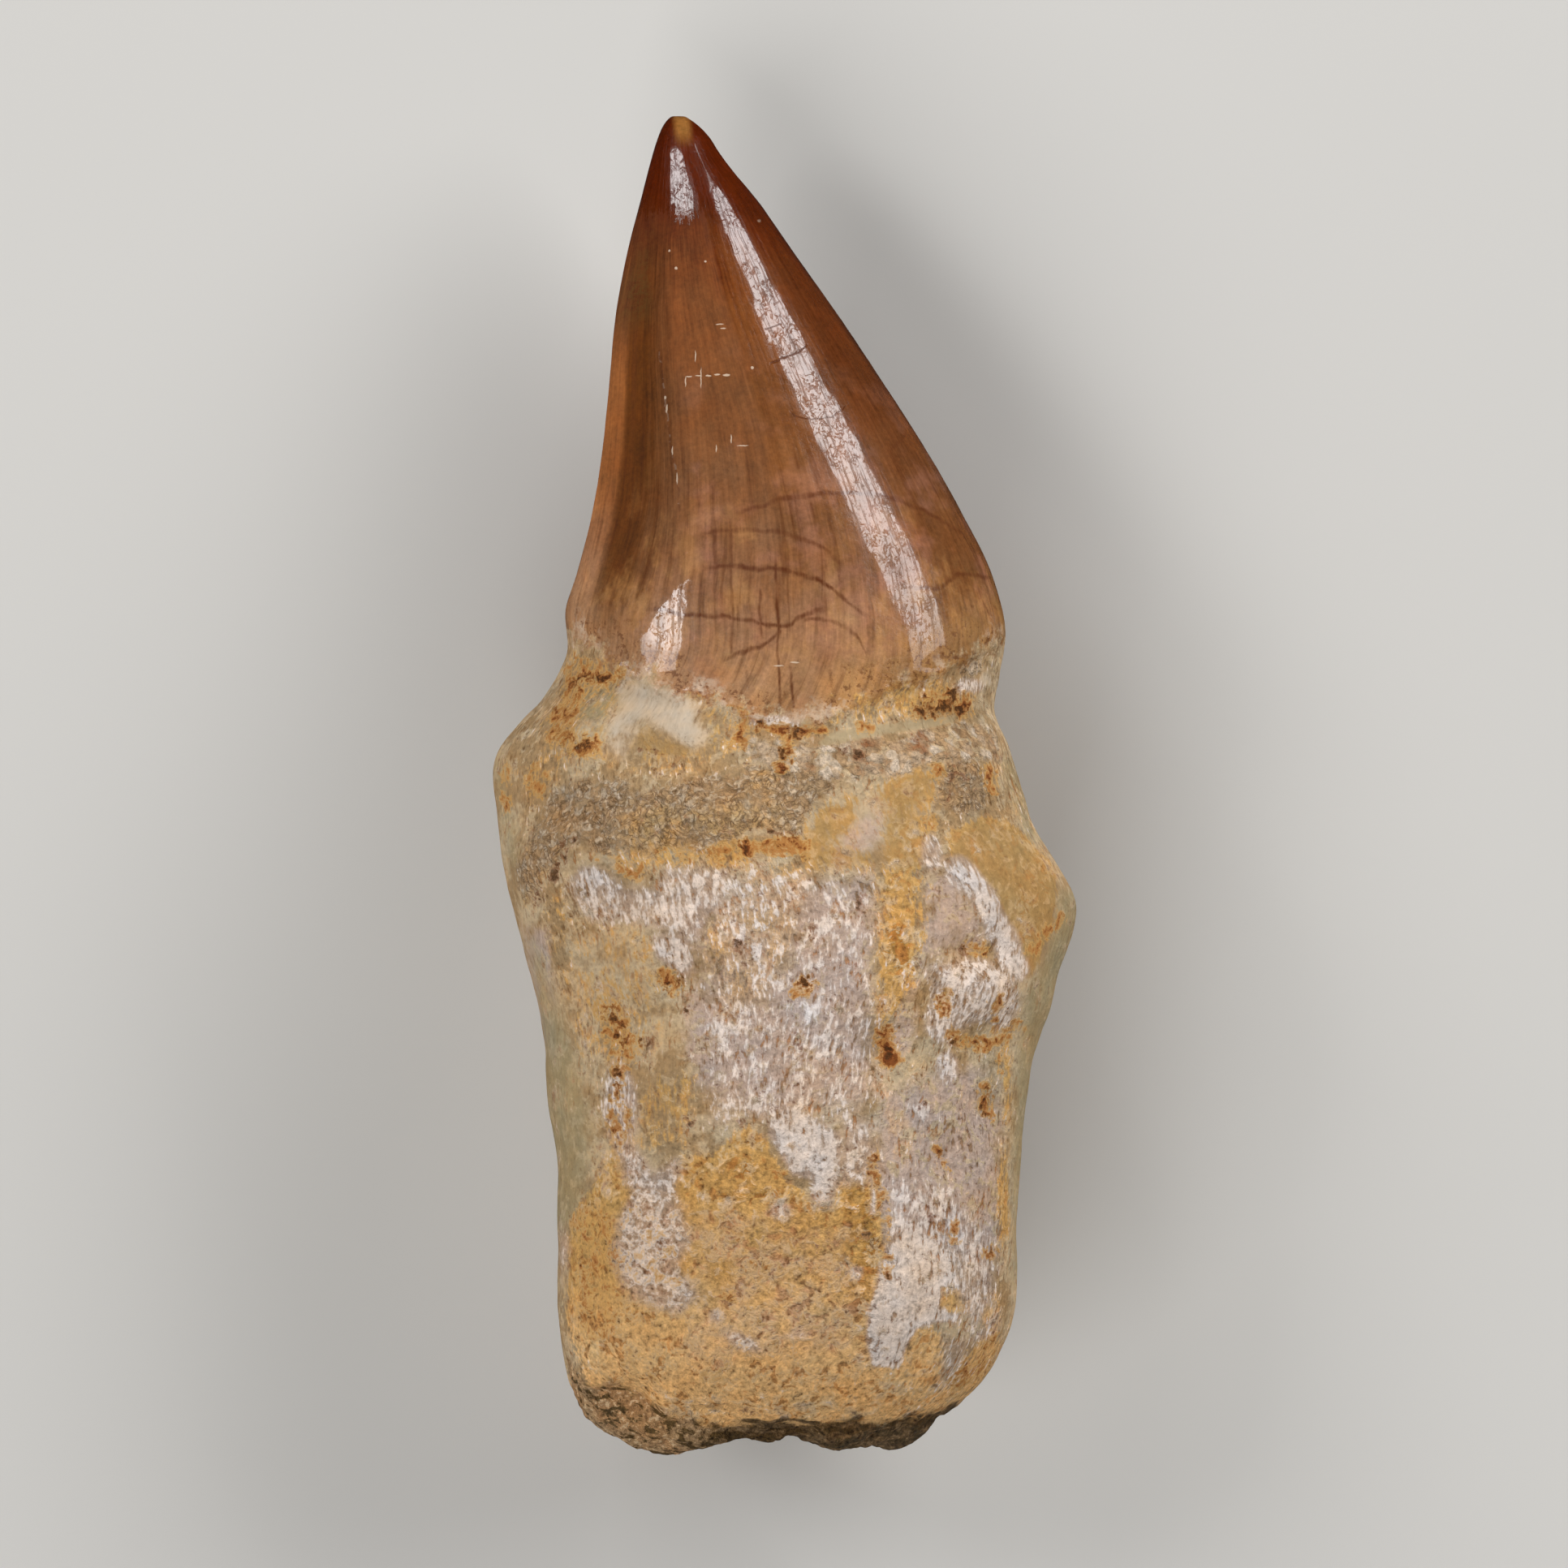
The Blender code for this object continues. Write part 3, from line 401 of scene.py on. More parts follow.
# The hidden back carries the same kinds of marks in places of its own.
BACK = {
    "ochre": [
        Spot(4.5, 66, 6.5, 7, 10), Spot(-7, 58, 3.6, 6.5, -8, 0.7), Spot(-3, 77.5, 11, 3.4),
        Spot(9, 48, 3.4, 3.2, 0, 0.8), Spot(-12, 44, 3, 2.6, 0, 0.8), Spot(0, 50, 2, 5, 6, 0.6),
        Spot(0, 38.5, 13, 2.4, 0, 0.5),
    ],
    "chalk": [
        Spot(-5, 68, 4.4, 5.2, 0, 0.85), Spot(3, 55, 3.6, 4.6, 0, 0.6), Spot(10.5, 61, 2.2, 5.4, 0, 0.7),
        Spot(-1.5, 46.8, 4, 1.4, 0, 0.75), Spot(-12.4, 53, 1.4, 4, 0, 0.6), Spot(4, 70, 6, 7, 0, 0.25),
    ],
    "lilac": [Spot(2, 57, 6, 8, 0, 0.9), Spot(-9, 65, 3.6, 8, 0, 0.9), Spot(11, 56, 2.6, 6, 0, 0.8)],
    "olive": [Spot(12.6, 68, 1.8, 7, 0, 0.9), Spot(-13.4, 62, 1.4, 8, 0, 0.9), Spot(5.5, 36.6, 2.4, 1)],
    "rust": [
        Spot(-11.5, 60, 1, 3.4, 0, 0.7), Spot(10.8, 57, 1, 1.8, 0, 0.9), Spot(-4, 43, 1.1, 1.3),
        Spot(1.5, 45.5, 0.8, 1), Spot(6, 77.5, 1.4, 1), Spot(11.6, 68, 0.9, 3, 0, 0.6),
        Band(0.8, 0.4, (-9, 35), (-4, 36.6), (2, 36.9)), Spot(2.5, 61.5, 0.7, 1.4, 15, 0.9),
    ],
    "dark": [
        Spot(-11.5, 59, 0.4, 1.2, 0, 0.9, 0.2), Spot(10.9, 57.2, 0.4, 0.7, 0, 1, 0.2),
        Spot(-4.1, 43.2, 0.4, 0.4, 0, 1, 0.2), Spot(1.5, 45.6, 0.4, 0.4, 0, 1, 0.2),
        Spot(6.1, 77.6, 0.6, 0.4, 0, 1, 0.2), Spot(-2.6, 53.5, 0.2, 0.6, 0, 1, 0.2),
        Spot(7.2, 70.2, 0.3, 0.3, 0, 1, 0.2), Spot(-8.2, 72.6, 0.25, 0.5, 0, 1, 0.2),
        Spot(-7, 37.2, 1.2, 0.3, 0, 0.9, 0.12),
    ],
    "grit": [Band(1, 1.6, (-15, 43.5), (-6, 40.6), (5, 41.2), (14.5, 46), softness=0.6)],
    "gravel": [Band(1, 0.8, (-13, 40), (-5, 38.4), (6, 38.8), (13, 42), softness=0.4)],
    "rubble": [Area(0.9, 0.6, (-13.4, 78.6), (-4, 80.6), (4, 80.2), (10.6, 79.6), (10.6, 83), (-13.4, 83))],
    "smooth": [
        Spot(13, 62, 2.4, 14), Spot(-13.6, 60, 2, 12), Spot(15, 46, 3, 4), Spot(-16, 42, 2, 4),
        Spot(3, 47.5, 4, 3, 0, 0.7), Spot(0, 54, 5, 8, 0, 0.5),
    ],
}

# Dark growth lines in the enamel: (x, along) points from left to right, and strength.
FRONT_GROWTH_LINES = [
    ([(-3.3, 24.8), (-1.8, 24.45), (-0.7, 24.05), (0.7, 23.75), (2, 23.6), (3.4, 23.55), (5, 23.55),
      (6.4, 23.75), (8.2, 24.45), (10.1, 25.4), (11.5, 26.5)], 0.75),
    ([(-5.2, 26.25), (-4.3, 25.9), (-3.3, 25.85), (-1.8, 25.8), (-0.2, 25.9), (0.7, 26.25), (2, 26.7),
      (2.9, 27.4), (3.7, 28.05)], 0.65),
    ([(-5.2, 28.35), (-4.3, 28.1), (-3, 28.05), (-1.8, 28.1), (-0.5, 28.25), (0.7, 28.5), (1.7, 28.75),
      (2.6, 29.15), (3.4, 29.85), (5.3, 31.2)], 1),
    ([(-8.8, 30.7), (-8, 30.6), (-6.9, 30.8), (-5.5, 31), (-4.3, 31.1), (-3, 31.2), (-2.1, 31.3),
      (-1.5, 31.55), (-0.5, 31.7), (0.1, 31.65), (0.7, 31.25), (1.4, 30.95), (2.1, 30.7),
      (3.1, 30.55)], 0.9),
    ([(1, 31.3), (2.3, 31.25), (3.2, 31.55), (4.2, 32.1), (4.8, 33), (5.1, 33.8)], 0.8),
    ([(-3.95, 33.8), (-3, 33.35), (-2.1, 33.1), (-1.3, 32.8), (-0.7, 32.35), (-0.05, 31.95)], 0.85),
    ([(7.45, 29.3), (9.2, 29.3), (10.1, 28.85), (10.9, 28.45), (12, 28.5), (12.9, 29.1)], 0.75),
    ([(12.1, 30.1), (12.9, 31.3)], 0.5), ([(8.9, 33.5), (11.4, 33.5)], 0.6),
    ([(6.4, 20.9), (7.5, 19.8)], 0.5),
]
BACK_GROWTH_LINES = [
    ([(-10.5, 29.5), (-6, 26.8), (-1, 26), (4, 26.6), (9.5, 29.2)], 0.9),
    ([(-8.5, 31.6), (-4, 29.4), (0.5, 29.2), (5, 30.2), (8, 32.2)], 0.8),
    ([(-5.5, 24.2), (-1.5, 22.6), (2.5, 22.9), (6.2, 25)], 0.6),
]
# Hairlines that run down the crown: (along, x) points from the upper end down, and strength.
FRONT_HAIRLINES = [
    ([(25, -3.35), (28, -3.3), (31, -3.25), (34, -3.2)], 0.65),
    ([(29.3, -1.55), (31, -1.5), (32.5, -1.45)], 0.8),
    ([(27, -0.55), (31, -0.5), (34.5, -0.4), (37.3, -0.3)], 0.95),
    ([(34, 0.35), (35.5, 0.4), (36.8, 0.5)], 0.9), ([(20.4, 0.4), (22.1, 0.9)], 0.45),
    ([(20.7, 1.5), (22.7, 2.1)], 0.5), ([(24, 1.6), (26, 1.85)], 0.5), ([(26, -4.3), (28, -4.25)], 0.4),
    ([(34.3, -2.35), (35.5, -2.25)], 0.5), ([(34.3, 2.8), (35.1, 2.85)], 0.5),
    ([(23.9, 0.3), (26.2, 0.55)], 0.35),
]
# Open cracks that cross the crown: (x, along) points, half width, strength.
FRONT_CRACKS = [
    ([(-1, 15.6), (-0.5, 15.35), (0.3, 15.05), (0.9, 14.75), (1.45, 14.3)], 0.06, 1),
    ([(-1.3, 13.4), (-0.8, 13.3), (-0.2, 13)], 0.045, 0.8),
    ([(0.2, 18.1), (1.2, 18.9), (2.4, 18.9), (3.3, 18.5), (3.9, 17.9)], 0.035, 0.7),
]
BROKEN_HAIRLINE = [
    (14.3, -7.8), (17.1, -7.4), (18.2, -7.3), (19.8, -7.1), (21.3, -6.85), (22.9, -6.55), (25.2, -6.5),
]
# Short pale scratches and dots on the crown, and painted highlights on the fold's ridge: x, along, half width
# and half length.
SCRATCHES_AND_PAINTED_GLINTS = [
    (-5.9, 16.35, 0.22, 0.05), (-5.3, 16.3, 0.25, 0.05), (-4.7, 16.3, 0.2, 0.06), (-4.15, 16.2, 0.2, 0.06),
    (-3.6, 16.25, 0.25, 0.08), (-6.1, 16.65, 0.04, 0.35), (-5.5, 15.1, 0.04, 0.4), (-5.15, 16.4, 0.04, 0.7),
    (-1.6, 6.6, 0.12, 0.12), (-6.7, 9.6, 0.1, 0.1), (-7.1, 8.5, 0.08, 0.1), (-4.9, 9.2, 0.08, 0.08),
    (-2, 15.8, 0.1, 0.1), (-4, 13.1, 0.3, 0.04), (-3.8, 13.35, 0.2, 0.04), (-2.6, 20.6, 0.4, 0.04),
    (-7.35, 17.6, 0.07, 0.12), (-7.25, 18.3, 0.06, 0.3), (-6.9, 20.9, 0.05, 0.3), (-6.6, 22.6, 0.05, 0.4),
    (-3.3, 20.2, 0.04, 0.3), (-4.2, 20.8, 0.04, 0.25), (0.6, 33.9, 0.3, 0.06), (-0.4, 34.1, 0.35, 0.05),
]


def linear(red, green, blue):
    """A colour seen on a screen, 0 to 255, as the linear values that a material takes."""
    shares = [channel / 255.0 for channel in (red, green, blue)]
    return tuple(s / 12.92 if s <= 0.04045 else ((s + 0.055) / 1.055) ** 2.4 for s in shares)


def colour_property(name, description, screen):
    return FloatVectorProperty(name=name, description=description, default=linear(*screen), size=3, min=0.0,
                               max=1.0, subtype="COLOR")


def length_property(name, description, millimetres):
    return FloatProperty(name=name, description=description, default=millimetres * MM, min=0.0, unit="LENGTH")


class FossilToothRelief(PropertyGroup):
    """How strong the fine relief of the tooth's surface is"""

    levels: IntProperty(name="Subdivision levels", description="How often each face is split in four",
                        default=2, min=0, max=3)
    swell: length_property("Swell", "Height of the low swells of the bone", 0.09)
    fibre: length_property("Fibre", "Height of the ridges that run down the root", 0.05)
    grit: length_property("Grit", "Height of the grains of the sandy band", 0.12)
    broken: length_property("Broken end", "Height of the lumps on the broken end", 0.3)
    chips: length_property("Chips", "Depth of the chips in the enamel's edge", 0.12)
    ripples: length_property("Ripples", "Height of the faint ripples of the enamel", 0.014)


class FossilToothEnamel(PropertyGroup):
    """Colours and gloss of the crown's enamel"""

    apex: colour_property("Apex", "Worn spot at the very tip", (158, 106, 50))
    tip: colour_property("Tip", "Dark red brown enamel just below the tip", (86, 28, 3))
    upper: colour_property("Upper crown", "Enamel of the upper third", (120, 66, 29))
    middle: colour_property("Middle", "Enamel half way down", (122, 75, 39))
    lower: colour_property("Lower crown", "Paler enamel above the base", (132, 88, 56))
    base: colour_property("Base", "Pinkish enamel near the edge", (174, 128, 94))
    # Painted shade: a dark for the upper right side, a painted dark reflection where it turns away.
    flank_shade: colour_property("Right flank", "Dark enamel along the upper right side", (80, 28, 3))
    # Partly painted light: the strip along the left cutting edge is paler, as lit from the left.
    lit_rim: colour_property("Cutting edge", "Flat pinkish strip along the left cutting edge", (156, 92, 44))
    # Partly painted shade: the hollow beside the fold is darker, partly its own colour, partly a painted dark
    # reflection.
    valley_shade: colour_property("Valley", "Saturated band in the hollow beside the fold", (94, 48, 3))
    amber: colour_property("Amber", "Thin amber enamel that meets the bone", (178, 132, 78))
    pink: colour_property("Pink clouds", "Faint pinkish clouds in the lower enamel", (170, 116, 94))
    growth: colour_property("Growth lines", "Dark lines in the lower enamel", (86, 42, 20))
    stain: colour_property("Stain", "Rough grey green speckle on the cutting edge", (86, 70, 38))
    # This white also paints the highlights on the fold's ridge.
    chip_and_glint_white: colour_property("Glints", "White chips and scratches", (222, 200, 176))
    roughness: FloatProperty(name="Roughness", description="Roughness under the polish", default=0.2,
                             min=0.0, max=1.0, subtype="FACTOR")


class FossilToothBone(PropertyGroup):
    """Colours of the root's weathered bone"""

    tan: colour_property("Tan", "Plain bone", (164, 134, 96))
    cream: colour_property("Cream", "Paler bone", (190, 166, 132))
    ochre: colour_property("Ochre", "Golden ochre stain", (198, 152, 88))
    deep_ochre: colour_property("Deep ochre", "Darkest ochre stain", (172, 124, 58))
    sandy: colour_property("Sandy ochre", "Paler ochre towards the broken end", (226, 178, 120))
    smooth_ochre: colour_property("Smooth ochre", "Smooth tan of the bulges", (168, 132, 80))
    chalk: colour_property("Chalk", "White chalky flakes", (220, 204, 192))
    lilac: colour_property("Lilac", "Cool grey pink bone", (184, 160, 145))
    # Partly painted shade along the sides of the root.
    olive: colour_property("Olive", "Smooth greyish green bone along the sides", (156, 138, 102))
    rust: colour_property("Rust", "Iron stain", (172, 112, 54))
    iron: colour_property("Iron", "Dark red brown heart of the iron stains", (118, 60, 24))
    pore: colour_property("Pores", "Brown of the fine pores", (146, 106, 64))
    pit: colour_property("Pits", "Darkest hollows", (66, 44, 22))
    grit: colour_property("Grit", "Grey brown of the sandy band", (166, 134, 98))
    # Also the painted shade between the crumbs of the gravel.
    grit_lines_and_gap_shade: colour_property("Dark grains", "Dark lines between the grains", (96, 66, 38))
    matrix: colour_property("Matrix", "Dark matrix in the broken end", (70, 52, 24))
    putty: colour_property("Putty", "Smooth grey green filling of the seam", (164, 146, 112))
    plaster: colour_property("Plaster", "Smooth pale patch at the neck", (194, 174, 150))


class FossilToothStudio(PropertyGroup):
    """The floor, lights and camera"""

    floor: colour_property("Floor", "Plain pale floor", (206, 204, 200))
    floor_side: FloatProperty(name="Floor side", description="Length of the floor's sides", default=3.0,
                              unit="LENGTH")
    distance: FloatProperty(name="Camera distance", description="From the camera to the middle of the tooth",
                            default=0.9, unit="LENGTH")
    view_width: FloatProperty(name="View width", description="Width of the picture at the tooth",
                              default=0.0966, unit="LENGTH")
    world: FloatProperty(name="World light", description="Strength of the even light", default=0.015, min=0.0)
    lights: FloatProperty(name="Lights", description="Brightness of the soft lights' faces", default=8.0,
                          min=0.0)


# Soft lights as name, heading, height, (length, breadth) in metres, roll, and share of the brightness.
LIGHT_DISTANCE = 0.6
LIGHTS = [
    ("long_light", 50.0, 27.0, (0.70, 0.24), -10.0, 0.9),
    ("tip_light", -27.0, 28.0, (0.29, 0.14), -22.0, 1.0),
    ("side_light", -70.0, 37.5, (0.17, 0.20), 0.0, 1.05),
    ("root_light", 214.0, 47.0, (0.50, 0.36), 0.0, 0.46),
]


def fade(value, start, end):
    """Goes smoothly from 0 at start to 1 at end."""
    t = np.clip((value - start) / (end - start), 0.0, 1.0)
    return t * t * (3.0 - 2.0 * t)


def fractal(points, size, octaves=3, stretch=(1.0, 1.0, 1.0), shift=0.0):
    """Uneven values from about -1 to 1, with lumps of about the given size in millimetres."""
    places = points / (size * np.array(stretch)) + shift
    return np.array([noise.fractal(Vector(place), 0.9, 2.1, octaves) for place in places])


def coordinates(mesh):
    values = np.zeros(len(mesh.vertices) * 3)
    mesh.vertices.foreach_get("co", values)
    return values.reshape(-1, 3)


def vertex_normals(mesh):
    values = np.zeros(len(mesh.vertices) * 3)
    mesh.vertex_normals.foreach_get("vector", values)
    return values.reshape(-1, 3)


def coarse_copy():
    """The CAD tooth's mesh as one closed skin of four-sided faces."""
    form = bmesh.new()
    form.from_mesh(frame["nodes"][NODE].data)
    bmesh.ops.remove_doubles(form, verts=form.verts, dist=0.002 * MM)
    bmesh.ops.join_triangles(form, faces=form.faces, angle_face_threshold=math.radians(175.0),
                             angle_shape_threshold=math.radians(175.0))
    for face in form.faces:
        face.smooth = True
    mesh = bpy.data.meshes.new(PIECE)
    form.to_mesh(mesh)
    form.free()
    return mesh


def subdivided(mesh, levels):
    """A finer copy of a mesh, from a Subdivision Surface modifier."""
    holder = bpy.data.objects.new("subdividing", mesh)
    bpy.context.scene.collection.objects.link(holder)
    modifier = holder.modifiers.new("subdivide", "SUBSURF")
    modifier.levels = levels
    modifier.render_levels = levels
    depsgraph = bpy.context.evaluated_depsgraph_get()
    fine = bpy.data.meshes.new_from_object(holder.evaluated_get(depsgraph))
    bpy.data.objects.remove(holder)
    return fine


def fine_skin(levels):
    """The subdivided tooth. The coarse points are first moved out, so that the fine skin passes through the
    CAD model's own points."""
    coarse = coarse_copy()
    wanted = coordinates(coarse)
    control = wanted.copy()
    for _ in range(2):
        fine = subdivided(coarse, levels)
        missed = wanted - coordinates(fine)[: len(wanted)]
        control += missed
        coarse.vertices.foreach_set("co", control.ravel())
        coarse.update()
        bpy.data.meshes.remove(fine)
    return subdivided(coarse, levels)


class Survey:
    """Where each point of the fine skin lies on the tooth, in millimetres."""

    def __init__(self, mesh):
        self.points = coordinates(mesh) / MM
        self.normals = vertex_normals(mesh)
        self.x = self.points[:, 0]
        self.z = self.points[:, 2]
        self.along = HIGH.y / MM - self.points[:, 1]
        self.front = fade(self.z - SIDE_HEIGHT, -1.6, 1.6)
        self.enamel = self.enamel_edge() - self.along
        self.broken = self.broken_end()
        self.measure_section()

    def broken_end(self):
        """How far each point belongs to the broken end: it faces away from the tip, or lies in the hollow."""
        within = fade(np.hypot(self.x + 1.0, self.z - SIDE_HEIGHT), 9.0, 7.5)
        hollow = fade(np.hypot(self.x - END_HOLLOW_X, self.z - END_HOLLOW_Z), 5.6, 4.8)
        start = ROOT_WALL_END - 0.4 - within * END_HOLLOW
        facing = fade(hollow - self.normals[:, 1], 0.7, 0.95) * fade(self.along, start, start + 0.6)
        return np.maximum(facing, self.cover("rubble"))

    def enamel_edge(self):
        """How far along the enamel reaches at each point's place across the neck."""
        across = np.clip((self.x - NECK_MIDDLE) / NECK_HALF_WIDTH, -1.0, 1.0)
        rounded = np.clip(np.sqrt(across * across + 0.012) - 0.1, 0.0, 1.0)
        dip = 1.0 - rounded**1.25
        uneven = dip * (0.3 * np.sin(9.0 * across + 0.8) + 0.16 * np.sin(21.0 * across))
        depth = np.where(self.z > SIDE_HEIGHT, ENAMEL_DIP_FRONT, ENAMEL_DIP_BACK)
        return ENAMEL_END_AT_SIDES + uneven + dip * depth

    def measure_section(self):
        """Finds each point's place across and through the tooth, from -1 to 1, whatever the width there."""
        stations = np.arange(0.0, math.ceil(LENGTH) + 1.0, 0.75)
        limits = {"x": [], "z": []}
        for station in stations:
            near = np.abs(self.along - station) < 0.8
            limits["x"].append((self.x[near].min(), self.x[near].max()))
            limits["z"].append((self.z[near].min(), self.z[near].max()))
        shares = {}
        for axis, values in (("x", self.x), ("z", self.z)):
            low, high = np.array(limits[axis]).T
            low = np.interp(self.along, stations, low)
            high = np.interp(self.along, stations, high)
            shares[axis] = (2.0 * values - low - high) / np.maximum(high - low, 0.4)
        self.across = shares["x"]
        self.through = shares["z"]

    def cover(self, name, weight="strength"):
        """How strongly the marks of a name cover each point, or how deep they are there."""
        total = np.zeros(self.x.shape)
        for marks, side in ((FRONT[name], self.front), (BACK.get(name, ()), 1.0 - self.front)):
            strongest = np.zeros(self.x.shape)
            for mark in marks:
                share = np.clip(0.5 + mark.inside(self.x, self.along) / (2.0 * mark.softness), 0.0, 1.0)
                strongest = np.maximum(strongest, getattr(mark, weight) * share)
            total += strongest * side
        return total


def painted_marks(survey):
    """Every mark that the material reads, by name, as one value a point."""
    fields = {name: survey.cover(name) for name in FRONT if name != "rubble"}
    fields["enamel"] = np.clip(survey.enamel, -8.0, 40.0)
    fields["front"] = survey.front
    fields["broken"] = survey.broken
    fields["across"] = survey.across
    return fields


def relief_height(survey, relief):
    """Height of the fine relief at each point, in millimetres."""
    points = survey.points
    bone = fade(-survey.enamel, 0.1, 1.2)
    grit = np.maximum(survey.cover("grit"), survey.cover("gravel"))
    wall = bone * (1.0 - survey.broken)
    height = relief.ripples / MM * (1.0 - bone) * fractal(points, 0.8, 3, (1.0, 2.5, 1.0), 4.4)
    height += relief.swell / MM * wall * fractal(points, 3.2, 2)
    height += relief.fibre / MM * wall * (1.0 - grit) * fractal(points, 0.9, 2, (1.0, 3.5, 1.0), 7.3)
    grains = np.abs(fractal(points, 1.1, 3, shift=3.1)) - 0.3
    height += relief.grit / MM * wall * grit * grains * 1.6
    lumps = fractal(points, 2.2, 4, shift=11.7) + 0.6 * np.abs(fractal(points, 0.9, 2, shift=5.9)) - 0.2
    height += relief.broken / MM * survey.broken * lumps
    edge = np.exp(-((survey.enamel - 0.25) / 0.5) ** 2)
    height -= relief.chips / MM * edge * fade(fractal(points, 1.0, 2, shift=2.2), 0.05, 0.4)
    height -= survey.cover("dark", "depth") * 1.2 * bone * (0.7 + 0.5 * fractal(points, 0.7, 2, shift=8.8))
    return height * fade(survey.along, 1.0, 6.0)


def store_mark(mesh, name, values):
    kind = "FLOAT_VECTOR" if values.ndim == 2 else "FLOAT"
    attribute = mesh.attributes.new(name, kind, "POINT")
    field = "vector" if values.ndim == 2 else "value"
    attribute.data.foreach_set(field, values.astype(np.float32).ravel())


def build_surface(relief):
    """Makes the fine tooth, with its relief and its painted marks."""
    mesh = fine_skin(relief.levels)
    survey = Survey(mesh)
    height = relief_height(survey, relief)
    # The worn flat on the back, where the tooth lies, keeps its place.
    height *= np.where(survey.front > 0.5, 1.0, fade(survey.z, 0.1, 1.4))
    moved = survey.points + survey.normals * height[:, None]
    moved[:, 2] = np.maximum(moved[:, 2], 0.0)
    for name, values in painted_marks(survey).items():
        store_mark(mesh, name, values)
    across, through = survey.across * TYPICAL_RADIUS, survey.through * TYPICAL_RADIUS
    store_mark(mesh, "grain", np.stack([across, survey.along, through], axis=1))
    mesh.vertices.foreach_set("co", (moved * MM).ravel())
    mesh.update()
    tooth = bpy.data.objects.new(PIECE, mesh)
    bpy.context.scene.collection.objects.link(tooth)
    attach(tooth, "root")
    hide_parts(NODE)
    return tooth


class Value:
    """One output of a material's nodes. Arithmetic on it adds Math nodes."""

    def __init__(self, recipe, socket):
        self.recipe = recipe
        self.socket = socket

    def math(self, operation, *values, clamp=False):
        settings = {"operation": operation, "use_clamp": clamp}
        return self.recipe.add("ShaderNodeMath", settings, dict(enumerate(values)))

    def __add__(self, other):
        return self.math("ADD", self, other)

    def __radd__(self, other):
        return self.math("ADD", other, self)

    def __sub__(self, other):
        return self.math("SUBTRACT", self, other)

    def __rsub__(self, other):
        return self.math("SUBTRACT", other, self)

    def __mul__(self, other):
        return self.math("MULTIPLY", self, other)

    def __rmul__(self, other):
        return self.math("MULTIPLY", other, self)

    def __truediv__(self, other):
        return self.math("DIVIDE", self, other)

    def __rtruediv__(self, other):
        return self.math("DIVIDE", other, self)

    def __abs__(self):
        return self.math("ABSOLUTE", self)

    def clamped(self):
        return self.math("ADD", self, 0.0, clamp=True)

    def at_least(self, other):
        return self.math("MAXIMUM", self, other)

    def fade(self, start, end):
        """Goes smoothly from 0 at start to 1 at end."""
        sockets = {"Value": self, "From Min": start, "From Max": end}
        return self.recipe.add("ShaderNodeMapRange", {"interpolation_type": "SMOOTHSTEP"}, sockets)


